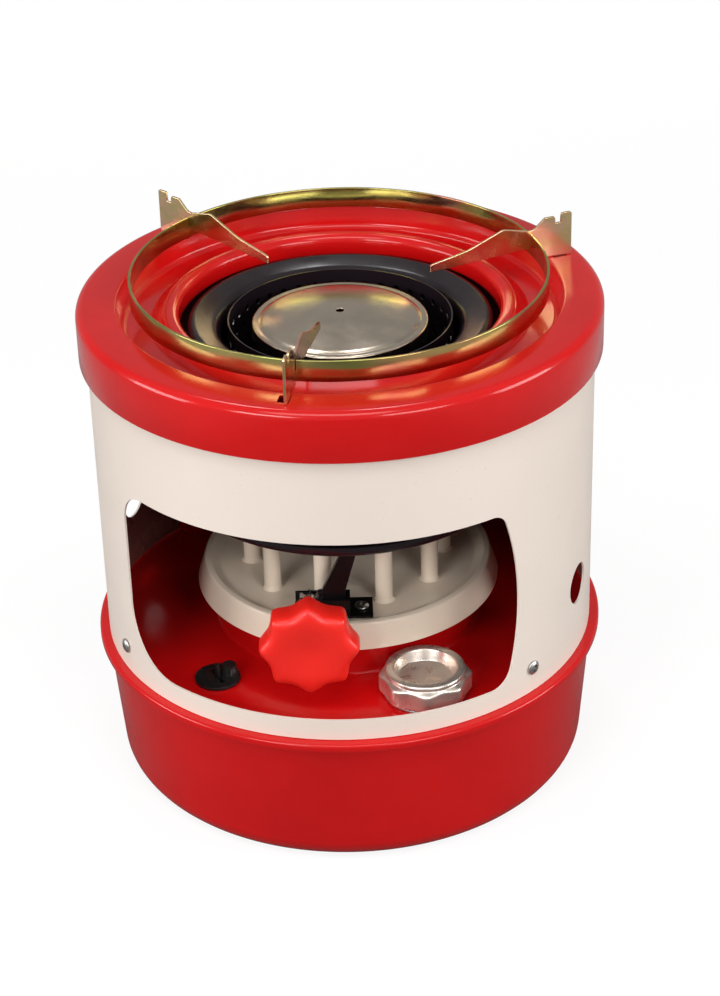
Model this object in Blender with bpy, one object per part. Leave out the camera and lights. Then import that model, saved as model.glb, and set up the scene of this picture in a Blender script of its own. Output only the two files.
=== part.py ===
# Portable kerosene stove with ten round wicks, built from its separate pieces.
# Lengths are metres and +Z is up. The stove stands on z = 0, round the axis x = y = 0.
# A bearing is an angle round the axis in degrees, 0 at the front (-Y), positive toward +X.

from math import atan2, cos, hypot, pi, radians, sin, tan

import bmesh
import bpy
from mathutils import Matrix, Vector

# Fits and sheet metal
FIT_GAP = 0.0003
SHEET = 0.0009
THIN_SHEET = 0.0006
MERGE = 0.000001
QUARTER_TURN = 90.0
SHARP_EDGE = 35.0
OVERCUT = 0.002

# Roundness of turned pieces, in flat sides
BODY_SIDES = 36
BURNER_SIDES = 32
CAP_SIDES = 24
NECK_SIDES = 16
TUBE_SIDES = 8
ROD_SIDES = 12
PORT_SIDES = 24
EDGE_STEPS = 1
FILLET_STEPS = 2
FOOT_STEPS = 4
WINDOW_STEPS = 6

# Tank
TANK_HEIGHT = 0.070
RIM_OVERHANG = 0.0034
TANK_TAPER = 0.0055
FOOT_ROUNDING = 0.012
RIM_LEDGE = 0.0045
RIM_DEPTH = 0.0038
RIM_ROUNDING = 0.0011

# Wick dish on the tank's collar
DISH_FLOOR_MARGIN = 0.015
DISH_RIM_OVERHANG = 0.0054
DISH_RIM_WIDTH = 0.0028
DISH_FLARE = 0.0038
DISH_RISE = 0.0278
DISH_RIM_RISE = 0.0027
DISH_SKIRT = 0.0115
DISH_ROUNDING = 0.0012
COLLAR_ROOM = 0.0018
COLLAR_LIP = 0.0028

# Wicks, their tubes and the carrier that lifts them
WICK_COUNT = 10
FIRST_WICK_BEARING = -14.6
WICK_CIRCLE = 0.045
TUBE_RADIUS = 0.004
TUBE_NECK_STEP = 0.0006
TUBE_WALL = 0.0005
TUBE_EXPOSED = 0.0433
TUBE_STUB = 0.0015
TUBE_NECK = 0.0105
WICK_SLACK = 0.0003
WICK_FOOT = 0.006
WICK_SET_BACK = 0.002
CARRIER_ROOM = 0.0013
CARRIER_PLATE = 0.002
CARRIER_HALF_WIDTH = 0.008
CARRIER_LUG_LENGTH = 0.004
GRIP_HEIGHT = 0.004
GRIP_WALL = 0.0017

# Knob, shaft, pinion and rack
SHAFT_OFFSET = 0.0175
SHAFT_RADIUS = 0.0024
PITCH_RADIUS = 0.0048
PINION_TEETH = 8
TRAVEL_TEETH = 3
TOOTH_HEIGHT = 0.00095
TOOTH_DEPTH = 0.0012
TOOTH_TIP_SHARE = 0.22
TOOTH_ROOT_SHARE = 0.60
TOOTH_SHIFT_SHARE = 0.5
RACK_SPARE_TEETH = 1
PINION_WIDTH = 0.0044
SHAFT_RIM_GAP = 0.0011
RACK_SET_FORWARD = 0.009
RACK_THICK = 0.003
RACK_WIDTH = 0.0105
RACK_TAIL_START = 0.0075
RACK_TAIL_RISE = 0.0178
RACK_TAIL_LEAN = 0.0084
RACK_TAIL_WIDTH = 0.0071
KNOB_RADIUS = 0.0223
KNOB_LOBES = 8
KNOB_LOBE_POINTS = 4
KNOB_VALLEY_SHARE = 0.13
KNOB_THICK = 0.0132
KNOB_FACE_SHARE = 0.73
KNOB_CHAMFER_DEPTH = 0.0032
KNOB_INSET = 0.0176
KNOB_HUB_RADIUS = 0.0065
KNOB_HUB_LENGTH = 0.003
KNOB_BORE_DEPTH = 0.0085

# Bracket that holds the shaft and guides the rack
BRACKET_SHEET = 0.0012
BRACKET_SIDE_ROOM = 0.0016
BRACKET_LEFT_REACH = 0.0065
BRACKET_PLATE_DROP = 0.0034
BRACKET_TOP_RISE = 0.0036
BRACKET_FOOT_WIDTH = 0.0103
BRACKET_FOOT_LENGTH = 0.0165
BRACKET_LEG_INSET = 0.0012

# Screws
SCREW_RADIUS = 0.0016
SCREW_HEAD_RADIUS = 0.0034
SCREW_HEAD_HEIGHT = 0.0017
SCREW_LENGTH = 0.005

# Burner
BURNER_DROP = 0.0096
BASE_MARGIN = 0.0095
BASE_RIM = 0.005
BASE_RIM_FLARE = 0.0015
BASE_LEDGE = 0.0033
AIR_HOLE_RADIUS = 0.003
FLAME_RING_WIDTH = 0.0152
FLAME_RING_ROOM = 0.0032
FLAME_RING_SKIRT = 0.011
FLAME_RING_SLOPE = 0.0042
FLAME_RING_LIP = 0.005
FLAME_RING_ROUNDING = 0.0034
CASING_TOP_ROOM = 0.0038
OUTER_FLAME_ROOM = 0.0056
INNER_FLAME_ROOM = 0.0052
SLEEVE_TOP_DROP = 0.002
CAP_SKIRT = 0.007
CAP_RIM_DROP = 0.0034
CAP_DOME = 0.0040
CAP_DOME_STEPS = 3
CAP_ROUNDING = 0.0012
CAP_BEAD_DIP = 0.0003
CAP_RIM_WIDTH = 0.003
CAP_HOLE_RADIUS = 0.0018
SLEEVE_COLUMNS = 8
SLEEVE_ROWS = 3
SLEEVE_HOLE_RADIUS = 0.003
SLEEVE_HOLE_SIDES = 6
SLEEVE_SHIFT_SHARE = 0.25

# Shell with its front window and side air holes
BODY_HEIGHT = 0.1634
SHELL_SCREW_RISE = 0.013
SHELL_SCREW_SPREAD = 54.2
WINDOW_BEARING = -8.6
WINDOW_HALF_ANGLE = 50.0
WINDOW_SILL = 0.0105
WINDOW_HEIGHT = 0.0888
WINDOW_TOP_LEFT = 0.016
WINDOW_TOP_RIGHT = 0.007
WINDOW_LOW_LEFT = 0.030
WINDOW_LOW_RIGHT = 0.011
WINDOW_TOP_LEAN = 0.0102
WINDOW_LOW_LEAN = 0.0077
WINDOW_BULGE = 0.0023
WINDOW_BULGE_SHARE = 0.5
WINDOW_BULGE_ROUNDING = 0.060
AIR_PORT_RADIUS = 0.0098
AIR_PORT_RISE = 0.0355
AIR_PORT_BEARINGS = (66.4, -113.6)
LUG_WIDTH = 0.012
LUG_FOOT = 0.010
LUG_HEAD_ROOM = 0.006

# Top cover
COVER_OVERHANG = 0.0036
COVER_SKIRT = 0.0233
COVER_EDGE = 0.0034
COVER_RIM_WIDTH = 0.0182
STEP_LEAN = 0.0026
GROOVE_DEPTH = 0.011
GROOVE_WIDTH = 0.0153
GROOVE_SLOPE = 0.008
LIP_WIDTH = 0.0045
LIP_DROP = 0.004
LIP_ROOM = 0.0030
LIP_TAIL = 0.006

# Pot stand
RING_STEP_ROOM = 0.0062
RING_HEIGHT = 0.0097
RING_LIFT = 0.002
STAND_SHEET = 0.0012
FIN_BEARINGS = (-11.8, 108.2, -131.8)
FIN_REACH = 0.0504
FIN_TIP_RISE = 0.0021
FIN_TIP_HEIGHT = 0.0036
FIN_WAIST_SET_BACK = 0.0323
FIN_WAIST_RISE = 0.0097
FIN_HUMP_SET_BACK = 0.0150
FIN_HUMP_RISE = 0.0172
FIN_SADDLE_RISE = 0.0142
FIN_SHOULDER_RISE = 0.0197
FIN_NOTCH_RISE = 0.0165
FIN_HORN_RISE = 0.0210
FIN_EDGE_INSET = 0.006
FIN_HORN_WIDTH = 0.0052
FIN_NOTCH_WIDTH = 0.0030
FIN_SHOULDER_WIDTH = 0.0050
FIN_FOOT_LENGTH = 0.0115
FIN_BELLY_RISE = 0.0058
FIN_EDGE = 0.0009
FIN_BEND = 0.0036
FIN_WAIST_BEND = 0.030
FIN_TIP_ROUNDING = 0.0012
TAB_LENGTH = 0.006
TAB_DEPTH = 0.0035
TAB_SLOT_SIDE_ROOM = 0.0034

# Filler neck and its screw cap
FILLER_BEARING = 23.5
FILLER_CLEARANCE = 0.0018
NECK_RADIUS = 0.0156
NECK_WALL = 0.0016
NECK_FLANGE = 0.0034
NECK_FLANGE_THICK = 0.001
NECK_HEIGHT = 0.0052
NECK_TAIL = 0.003
GASKET_THICK = 0.0009
GASKET_WIDTH = 0.003
FILLER_CAP_WALL = 0.0019
FILLER_CAP_FLARE = 0.0032
FILLER_CAP_LOBES = 8
FILLER_CAP_VALLEY_SHARE = 0.085
FILLER_CAP_FLANGE = 0.0086
FILLER_CAP_TOP = 0.0060
FILLER_CAP_WEB = 0.001
FILLER_CAP_EDGE = 0.0012
RECESS_RIM_WIDTH = 0.0028
RECESS_SLOPE = 0.0051

# Fuel gauge with its float
GAUGE_BEARING = -44.0
GAUGE_CLEARANCE = 0.0254
GAUGE_BRIM = 0.0033
GAUGE_PLUG_RADIUS = 0.0072
GAUGE_FLANGE = 0.0015
GAUGE_PLUG_DEPTH = 0.003
PIVOT_DROP = 0.008
EAR_WIDTH = 0.0052
EAR_THICK = 0.0012
EAR_ROOM = 0.0008
PIVOT_RADIUS = 0.0012
POINTER_WIDTH = 0.0045
POINTER_THICK = 0.0015
POINTER_RISE = 0.0065
POINTER_TIP_SHARE = 0.45
FLOAT_SWING = 20.0
FLOAT_DROOP = 25.0
FLOAT_TURN_IN = 20.0
FLOAT_ARM = 0.050
FLOAT_ARM_SIZE = 0.002
FLOAT_RADIUS = 0.011
FLOAT_HEIGHT = 0.012
FLOAT_EDGE = 0.002

# Heights that follow from the sizes above
deck_z = TANK_HEIGHT
dish_floor_z = deck_z + DISH_RISE
dish_rim_z = dish_floor_z + DISH_RIM_RISE
base_z = dish_floor_z + TUBE_EXPOSED
cover_top_z = deck_z + BODY_HEIGHT
burner_top_z = cover_top_z - BURNER_DROP
pinion_radius = PITCH_RADIUS + TOOTH_HEIGHT
shaft_z = dish_rim_z + SHAFT_RIM_GAP + SHAFT_RADIUS
tooth_pitch = 2 * pi * PITCH_RADIUS / PINION_TEETH
travel = TRAVEL_TEETH * tooth_pitch
carrier_top_z = dish_floor_z - SHEET - TUBE_STUB - CARRIER_ROOM - travel - GRIP_HEIGHT
carrier_z = carrier_top_z - CARRIER_PLATE
pitch_line_x = PITCH_RADIUS - SHAFT_OFFSET
rack_root_x = pitch_line_x + TOOTH_DEPTH
rack_right_x = rack_root_x + RACK_WIDTH

# Radii that follow from the wick circle outward
outer_sleeve_radius = WICK_CIRCLE + OUTER_FLAME_ROOM
cap_radius = WICK_CIRCLE - INNER_FLAME_ROOM
flame_ring_inner = outer_sleeve_radius + FLAME_RING_ROOM
flame_ring_radius = flame_ring_inner + FLAME_RING_WIDTH
base_radius = flame_ring_radius + BASE_MARGIN
base_opening_radius = cap_radius - BASE_LEDGE
dish_floor_radius = WICK_CIRCLE + DISH_FLOOR_MARGIN
collar_radius = dish_floor_radius + COLLAR_ROOM
dish_rim_radius = collar_radius + DISH_RIM_OVERHANG
dish_radius = dish_rim_radius + DISH_FLARE
lip_opening_radius = flame_ring_radius + LIP_ROOM
lip_radius = lip_opening_radius + LIP_WIDTH
groove_inner_radius = lip_radius + GROOVE_SLOPE
step_radius = groove_inner_radius + GROOVE_WIDTH
cover_radius = step_radius + COVER_RIM_WIDTH
shell_radius = cover_radius - COVER_OVERHANG
rim_radius = shell_radius + RIM_LEDGE
tank_radius = rim_radius - RIM_OVERHANG
ring_radius = step_radius - RING_STEP_ROOM
ring_inner_radius = ring_radius - STAND_SHEET
fin_outer_radius = cover_radius - FIN_EDGE_INSET
rack_reach = WICK_CIRCLE + RACK_SET_FORWARD
knob_face_reach = shell_radius - KNOB_INSET

# Radii of the smaller pieces
neck_radius = TUBE_RADIUS - TUBE_NECK_STEP
tube_bore = neck_radius - TUBE_WALL
wick_radius = tube_bore - WICK_SLACK
cap_rim_radius = NECK_RADIUS + FIT_GAP + FILLER_CAP_WALL
filler_cap_radius = cap_rim_radius + FILLER_CAP_FLARE
recess_radius = cap_rim_radius - RECESS_RIM_WIDTH
filler_reach = collar_radius + FILLER_CLEARANCE + filler_cap_radius
gauge_reach = collar_radius + GAUGE_CLEARANCE
gauge_radius = GAUGE_PLUG_RADIUS + GAUGE_BRIM


def clear_scene():
    for item in list(bpy.data.objects):
        bpy.data.objects.remove(item, do_unlink=True)


def material(name, colour, roughness, metallic):
    look = bpy.data.materials.new(name)
    look.use_nodes = True
    shader = look.node_tree.nodes["Principled BSDF"]
    shader.inputs["Base Color"].default_value = (*colour, 1)
    shader.inputs["Roughness"].default_value = roughness
    shader.inputs["Metallic"].default_value = metallic
    return look


def make_looks():
    return {
        "red": material("red_enamel", (0.61, 0.013, 0.016), 0.22, 0),
        "tank": material("tank_enamel", (0.56, 0.012, 0.014), 0.25, 0),
        "cream": material("cream_enamel", (0.83, 0.74, 0.64), 0.3, 0),
        "black": material("black_enamel", (0.02, 0.017, 0.019), 0.2, 0),
        "passivated": material("yellow_zinc", (0.42, 0.34, 0.14), 0.35, 1),
        "zinc": material("plain_zinc", (0.5, 0.44, 0.36), 0.35, 1),
        "chrome": material("chrome", (0.72, 0.7, 0.68), 0.16, 1),
        "steel": material("plain_steel", (0.55, 0.55, 0.55), 0.35, 1),
        "knob": material("red_plastic", (0.82, 0.018, 0.012), 0.35, 0),
        "cotton": material("wick_cotton", (0.78, 0.74, 0.66), 0.95, 0),
        "rubber": material("black_rubber", (0.03, 0.03, 0.03), 0.7, 0),
        "plastic": material("black_plastic", (0.02, 0.02, 0.02), 0.4, 0),
    }


def at_bearing(reach, bearing, height):
    angle = radians(bearing)
    return Vector((reach * sin(angle), -reach * cos(angle), height))


def empty(name, place, parent=None):
    frame = bpy.data.objects.new(name, None)
    bpy.context.collection.objects.link(frame)
    frame.location = place
    if parent:
        hang(frame, parent)
    return frame


def hang(item, parent):
    bpy.context.view_layer.update()
    item.parent = parent
    item.matrix_parent_inverse = parent.matrix_world.inverted()


def add_object(name, shape, look, place=(0, 0, 0), turn=0):
    bmesh.ops.recalc_face_normals(shape, faces=shape.faces)
    mesh = bpy.data.meshes.new(name)
    shape.to_mesh(mesh)
    shape.free()
    mesh.shade_smooth()
    mesh.set_sharp_from_angle(angle=radians(SHARP_EDGE))
    return place_mesh(name, mesh, look, place, turn)


def place_mesh(name, mesh, look, place, turn=0):
    item = bpy.data.objects.new(name, mesh)
    bpy.context.collection.objects.link(item)
    if look and not mesh.materials:
        mesh.materials.append(look)
    item.location = place
    item.rotation_euler.z = turn
    return item


def hide_tool(item):
    item.hide_render = True
    item.display_type = "WIRE"


def combine(item, tool, operation):
    hide_tool(tool)
    change = item.modifiers.new(operation.lower(), "BOOLEAN")
    change.operation = operation
    change.solver = "EXACT"
    change.object = tool


def filleted(corners, steps, closed=False):
    """Points along straight runs between corners (x, z, radius), with round corners."""
    points = []
    count = len(corners)
    for index, (x, z, radius) in enumerate(corners):
        inner = closed or 0 < index < count - 1
        if radius <= 0 or not inner:
            points.append((x, z))
            continue
        here = Vector((x, z))
        before = (Vector(corners[index - 1][:2]) - here).normalized()
        after = (Vector(corners[(index + 1) % count][:2]) - here).normalized()
        half = before.angle(after) / 2
        middle = here + (before + after).normalized() * radius / sin(half)
        start = here + before * radius / tan(half) - middle
        sweep = start.angle_signed(here + after * radius / tan(half) - middle)
        for step in range(steps + 1):
            turned_by = Matrix.Rotation(-sweep * step / steps, 2)
            points.append(tuple(middle + turned_by @ start))
    return points


def offset_path(path, distance):
    """The path moved to its left by a distance, with mitred corners."""
    moved = []
    for index, here in enumerate(path):
        runs = []
        if index > 0:
            runs.append(Vector(here) - Vector(path[index - 1]))
        if index < len(path) - 1:
            runs.append(Vector(path[index + 1]) - Vector(here))
        sides = [Vector((-run.y, run.x)).normalized() for run in runs]
        total = sides[0] + sides[-1]
        shift = total * (distance * 2 / total.length_squared)
        moved.append((here[0] + shift.x, here[1] + shift.y))
    return moved


def sheet_outline(path, thickness):
    return path + offset_path(path, thickness)[::-1]


def spin_outline(outline, sides):
    """A solid of revolution about Z from (radius, z) points; ends on the axis stay open."""
    shape = bmesh.new()
    points = [shape.verts.new((radius, 0, z)) for radius, z in outline]
    on_axis = outline[0][0] < MERGE and outline[-1][0] < MERGE
    ends = points[1:] if on_axis else points[1:] + points[:1]
    edges = [shape.edges.new(pair) for pair in zip(points, ends)]
    bmesh.ops.spin(
        shape, geom=points + edges, cent=(0, 0, 0), axis=(0, 0, 1),
        angle=2 * pi, steps=sides, use_merge=True)
    bmesh.ops.remove_doubles(shape, verts=shape.verts, dist=MERGE)
    return shape


def turned(name, outline, sides, look, place=(0, 0, 0)):
    return add_object(name, spin_outline(outline, sides), look, place)


def extruded(name, outline, depth, look, place, frame):
    """A flat outline (u, v) pushed out by depth along frame's third column."""
    shape = bmesh.new()
    points = [shape.verts.new((u, v, 0)) for u, v in outline]
    face = shape.faces.new(points)
    grown = bmesh.ops.extrude_face_region(shape, geom=[face])
    raised = [part for part in grown["geom"] if isinstance(part, bmesh.types.BMVert)]
    bmesh.ops.translate(shape, verts=raised, vec=(0, 0, depth))
    bmesh.ops.transform(shape, matrix=frame.to_4x4(), verts=shape.verts)
    return add_object(name, shape, look, place)


def box_shape(low, high):
    shape = bmesh.new()
    size = Vector(high) - Vector(low)
    middle = (Vector(high) + Vector(low)) / 2
    bmesh.ops.create_cube(shape, size=1)
    bmesh.ops.scale(shape, vec=size, verts=shape.verts)
    bmesh.ops.translate(shape, vec=middle, verts=shape.verts)
    return shape


def box(name, low, high, look=None, place=(0, 0, 0), turn=0):
    return add_object(name, box_shape(low, high), look, place, turn)


def rod_shape(radius, start, end, sides):
    """A round bar between two points."""
    shape = bmesh.new()
    run = Vector(end) - Vector(start)
    bmesh.ops.create_cone(
        shape, cap_ends=True, segments=sides, radius1=radius, radius2=radius, depth=run.length)
    turn = Vector((0, 0, 1)).rotation_difference(run).to_matrix().to_4x4()
    bmesh.ops.transform(shape, matrix=turn, verts=shape.verts)
    bmesh.ops.translate(shape, vec=(Vector(start) + Vector(end)) / 2, verts=shape.verts)
    return shape


def rod(name, radius, start, end, sides, look=None, place=(0, 0, 0)):
    return add_object(name, rod_shape(radius, start, end, sides), look, place)


def gathered(name, shapes, look=None, place=(0, 0, 0)):
    """Several separate shapes in one object, used as a tool."""
    whole = bmesh.new()
    for shape in shapes:
        loose = bpy.data.meshes.new(name)
        shape.to_mesh(loose)
        shape.free()
        whole.from_mesh(loose)
        bpy.data.meshes.remove(loose)
    return add_object(name, whole, look, place)


def round_loop(middle, height, radius, sides):
    step = 2 * pi / sides
    return [
        (middle + radius * cos(step * index), height + radius * sin(step * index))
        for index in range(sides)]


def leans(edge):
    return abs(edge.verts[0].co.x - edge.verts[1].co.x) > MERGE


def rolled_sheet(name, radius, thickness, bottom, top, cutouts, sides, look):
    """A flat blank with its cut-outs, rolled into a tube; cut-outs are (arc length, z) loops."""
    half = pi * radius
    shape = bmesh.new()
    edges = []
    for loop in [[(-half, bottom), (half, bottom), (half, top), (-half, top)], *cutouts]:
        points = [shape.verts.new((along, 0, z)) for along, z in loop]
        edges += [shape.edges.new(pair) for pair in zip(points, points[1:] + points[:1])]
    bmesh.ops.triangle_fill(shape, edges=edges, use_beauty=True)
    for index in range(1, sides):
        everything = shape.verts[:] + shape.edges[:] + shape.faces[:]
        bmesh.ops.bisect_plane(
            shape, geom=everything, dist=MERGE,
            plane_co=(half * (2 * index / sides - 1), 0, 0), plane_no=(1, 0, 0))
    inside = [edge for edge in shape.edges if not edge.is_boundary and leans(edge)]
    bmesh.ops.dissolve_edges(shape, edges=inside, use_verts=False)
    spare = [vert for vert in shape.verts if not any(leans(edge) for edge in vert.link_edges)]
    bmesh.ops.dissolve_verts(shape, verts=spare)
    for vert in shape.verts:
        vert.co = at_bearing(radius, vert.co.x / half * 180, vert.co.z)
    bmesh.ops.remove_doubles(shape, verts=shape.verts, dist=MERGE)
    bmesh.ops.recalc_face_normals(shape, faces=shape.faces)
    grown = bmesh.ops.extrude_face_region(shape, geom=shape.faces[:])
    inner = [part for part in grown["geom"] if isinstance(part, bmesh.types.BMVert)]
    share = (radius - thickness) / radius
    bmesh.ops.scale(shape, vec=(share, share, 1), verts=inner)
    return add_object(name, shape, look)


def tank_pan(looks):
    foot = tank_radius - TANK_TAPER
    flange_z = deck_z - 2 * SHEET - FIT_GAP
    flange_radius = rim_radius - SHEET - FIT_GAP
    path = filleted([
        (0, 0, 0),
        (foot, 0, FOOT_ROUNDING),
        (tank_radius, flange_z, 0),
        (flange_radius, flange_z, 0)], FOOT_STEPS)
    return turned("tank_pan", sheet_outline(path, SHEET), BODY_SIDES, looks["tank"])


def tank_top(looks):
    """The deck: a hemmed edge outside and a tall collar inside that carries the wick dish."""
    seat_z = dish_floor_z - SHEET - FIT_GAP
    corners = [
        (rim_radius, deck_z - RIM_DEPTH, 0),
        (rim_radius, deck_z, RIM_ROUNDING),
        (collar_radius, deck_z, 0),
        (collar_radius, seat_z, 0),
        (collar_radius - COLLAR_LIP, seat_z, 0)]
    path = filleted(corners, FILLET_STEPS)
    item = turned("tank_top", sheet_outline(path, SHEET), BODY_SIDES, looks["tank"])
    low = -SHEET - OVERCUT
    filler = at_bearing(filler_reach, FILLER_BEARING, deck_z)
    gauge = at_bearing(gauge_reach, GAUGE_BEARING, deck_z)
    holes = [
        rod_shape(NECK_RADIUS + FIT_GAP, filler + Vector((0, 0, low)),
                  filler + Vector((0, 0, OVERCUT)), NECK_SIDES),
        rod_shape(GAUGE_PLUG_RADIUS + FIT_GAP, gauge + Vector((0, 0, low)),
                  gauge + Vector((0, 0, OVERCUT)), NECK_SIDES)]
    combine(item, gathered("deck_holes", holes), "DIFFERENCE")
    return item


def filler_neck(looks):
    place = at_bearing(filler_reach, FILLER_BEARING, deck_z)
    inner = NECK_RADIUS - NECK_WALL
    flange = FIT_GAP + NECK_FLANGE_THICK
    outline = [
        (inner, -NECK_TAIL), (NECK_RADIUS, -NECK_TAIL), (NECK_RADIUS, FIT_GAP),
        (NECK_RADIUS + NECK_FLANGE, FIT_GAP), (NECK_RADIUS + NECK_FLANGE, flange),
        (NECK_RADIUS, flange), (NECK_RADIUS, NECK_HEIGHT), (inner, NECK_HEIGHT)]
    return turned("filler_neck", outline, NECK_SIDES, looks["zinc"], place)


def filler_gasket(looks):
    place = at_bearing(filler_reach, FILLER_BEARING, deck_z + NECK_HEIGHT + FIT_GAP)
    outline = [
        (NECK_RADIUS - GASKET_WIDTH, 0), (NECK_RADIUS, 0),
        (NECK_RADIUS, GASKET_THICK), (NECK_RADIUS - GASKET_WIDTH, GASKET_THICK)]
    return turned("filler_gasket", outline, NECK_SIDES, looks["rubber"], place)


def filler_cap(looks):
    """A lobed skirt below, a round rim above and a coned recess in the top."""
    place = at_bearing(filler_reach, FILLER_BEARING, deck_z)
    low = 2 * FIT_GAP + NECK_FLANGE_THICK
    ceiling = NECK_HEIGHT + GASKET_THICK + 2 * FIT_GAP
    floor = ceiling + FILLER_CAP_WEB
    top = floor + FILLER_CAP_TOP
    bore = NECK_RADIUS + FIT_GAP
    shoulder = low + FILLER_CAP_FLANGE
    outline = [
        (0, ceiling), (bore, ceiling), (bore, low),
        (filler_cap_radius - FILLER_CAP_EDGE, low), (filler_cap_radius, low + FILLER_CAP_EDGE),
        (filler_cap_radius, shoulder - FILLER_CAP_EDGE), (filler_cap_radius - FILLER_CAP_EDGE, shoulder),
        (cap_rim_radius, shoulder + FILLER_CAP_EDGE),
        (cap_rim_radius, top - FILLER_CAP_EDGE),
        (cap_rim_radius - FILLER_CAP_EDGE, top),
        (recess_radius, top - FILLER_CAP_EDGE / 2),
        (recess_radius - RECESS_SLOPE, floor), (0, floor)]
    shape = spin_outline(outline, CAP_SIDES)
    for vert in shape.verts:
        reach = hypot(vert.co.x, vert.co.y)
        if reach > cap_rim_radius + MERGE:
            wave = abs(sin(FILLER_CAP_LOBES / 2 * atan2(vert.co.y, vert.co.x)))
            shrink = 1 - FILLER_CAP_VALLEY_SHARE * wave
            vert.co.x *= shrink
            vert.co.y *= shrink
    return add_object("filler_cap", shape, looks["chrome"], place)


def gauge_frame():
    """Columns: along the float's arm, along its pivot, up."""
    heading = radians(GAUGE_BEARING - QUARTER_TURN - FLOAT_TURN_IN)
    along = Vector((sin(heading), -cos(heading), 0))
    up = Vector((0, 0, 1))
    return Matrix((along, up.cross(along), up)).transposed()


def gauge_bezel(looks):
    """A black plug in the deck with a slot for the pointer and two ears for the pivot."""
    place = at_bearing(gauge_reach, GAUGE_BEARING, deck_z)
    top = FIT_GAP + GAUGE_FLANGE
    low = -SHEET - GAUGE_PLUG_DEPTH
    outline = [
        (0, low), (GAUGE_PLUG_RADIUS, low), (GAUGE_PLUG_RADIUS, FIT_GAP),
        (gauge_radius, FIT_GAP), (gauge_radius, top), (0, top)]
    item = turned("gauge_bezel", outline, NECK_SIDES, looks["plastic"], place)
    frame = gauge_frame().to_4x4()
    room = POINTER_THICK / 2 + EAR_ROOM
    ears = []
    for side in (-1, 1):
        near, far = sorted((side * room, side * (room + EAR_THICK)))
        ear = box_shape(
            (-EAR_WIDTH / 2, near, -PIVOT_DROP - EAR_WIDTH / 2), (EAR_WIDTH / 2, far, low + SHEET))
        bmesh.ops.transform(ear, matrix=frame, verts=ear.verts)
        ears.append(ear)
    combine(item, gathered("gauge_ears", ears, place=place), "UNION")
    swing = (PIVOT_DROP + top) * tan(radians(FLOAT_SWING))
    slot_half = POINTER_WIDTH / 2 / cos(radians(FLOAT_SWING)) + swing + FIT_GAP
    slot = box_shape(
        (-slot_half, -POINTER_THICK / 2 - FIT_GAP, low - OVERCUT),
        (slot_half, POINTER_THICK / 2 + FIT_GAP, top + OVERCUT))
    bmesh.ops.transform(slot, matrix=frame, verts=slot.verts)
    reach = room + EAR_THICK + OVERCUT
    hole = rod_shape(PIVOT_RADIUS + FIT_GAP, (0, -reach, 0), (0, reach, 0), ROD_SIDES)
    bmesh.ops.transform(hole, matrix=frame, verts=hole.verts)
    bmesh.ops.translate(hole, vec=(0, 0, -PIVOT_DROP), verts=hole.verts)
    combine(item, gathered("gauge_cuts", [slot, hole], place=place), "DIFFERENCE")
    return item


def gauge_float(looks, parent):
    """Pointer, pivot pin, arm and float in one piece, its origin on the pivot."""
    place = at_bearing(gauge_reach, GAUGE_BEARING, deck_z - PIVOT_DROP)
    frame = gauge_frame().to_4x4()
    top = PIVOT_DROP + FIT_GAP + GAUGE_FLANGE + POINTER_RISE
    half = POINTER_WIDTH / 2
    item = box("gauge_float", (-half, -POINTER_THICK / 2, -half), (half, POINTER_THICK / 2, top))
    for vert in item.data.vertices:
        if vert.co.z > 0:
            vert.co.x *= POINTER_TIP_SHARE
    item.data.materials.append(looks["plastic"])
    item.data.transform(frame)
    item.location = place
    droop = radians(FLOAT_DROOP)
    end = Vector((FLOAT_ARM * cos(droop), 0, -FLOAT_ARM * sin(droop)))
    pin_half = POINTER_THICK / 2 + EAR_ROOM + EAR_THICK
    pin = rod_shape(PIVOT_RADIUS, (0, -pin_half, 0), (0, pin_half, 0), ROD_SIDES)
    arm = rod_shape(FLOAT_ARM_SIZE / 2, (0, 0, 0), end, TUBE_SIDES)
    drum = [
        (0, -FLOAT_HEIGHT / 2), (FLOAT_RADIUS - FLOAT_EDGE, -FLOAT_HEIGHT / 2),
        (FLOAT_RADIUS, FLOAT_EDGE - FLOAT_HEIGHT / 2), (FLOAT_RADIUS, FLOAT_HEIGHT / 2 - FLOAT_EDGE),
        (FLOAT_RADIUS - FLOAT_EDGE, FLOAT_HEIGHT / 2), (0, FLOAT_HEIGHT / 2)]
    ball = spin_outline(drum, ROD_SIDES)
    bmesh.ops.translate(ball, vec=end, verts=ball.verts)
    for number, shape in enumerate((pin, arm, ball)):
        bmesh.ops.transform(shape, matrix=frame, verts=shape.verts)
        combine(item, add_object(f"float_part_{number}", shape, None, place), "UNION")
    hang(item, parent)
    return item


def wick_dish(looks):
    corners = [
        (dish_radius, dish_rim_z - DISH_SKIRT, 0),
        (dish_rim_radius, dish_rim_z, DISH_ROUNDING),
        (dish_rim_radius - DISH_RIM_WIDTH, dish_rim_z, DISH_ROUNDING),
        (dish_floor_radius, dish_floor_z, 0),
        (0, dish_floor_z, 0)]
    path = filleted(corners, EDGE_STEPS)
    item = turned("wick_dish", sheet_outline(path, SHEET), BURNER_SIDES, looks["cream"])
    low = dish_floor_z - SHEET - OVERCUT
    high = dish_floor_z + OVERCUT
    cuts = [
        rod_shape(TUBE_RADIUS + FIT_GAP, at_bearing(WICK_CIRCLE, bearing, low),
                  at_bearing(WICK_CIRCLE, bearing, high), TUBE_SIDES)
        for bearing in wick_bearings()]
    side = FIT_GAP * 2
    left = pitch_line_x - TOOTH_HEIGHT - side
    near = -rack_reach - RACK_THICK / 2 - side
    far = -rack_reach + RACK_THICK / 2 + side
    cuts.append(box_shape((left, near, low), (rack_right_x + side, far, high)))
    combine(item, gathered("dish_cuts", cuts), "DIFFERENCE")
    return item


def wick_bearings():
    return [FIRST_WICK_BEARING + 360 / WICK_COUNT * index for index in range(WICK_COUNT)]


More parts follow.
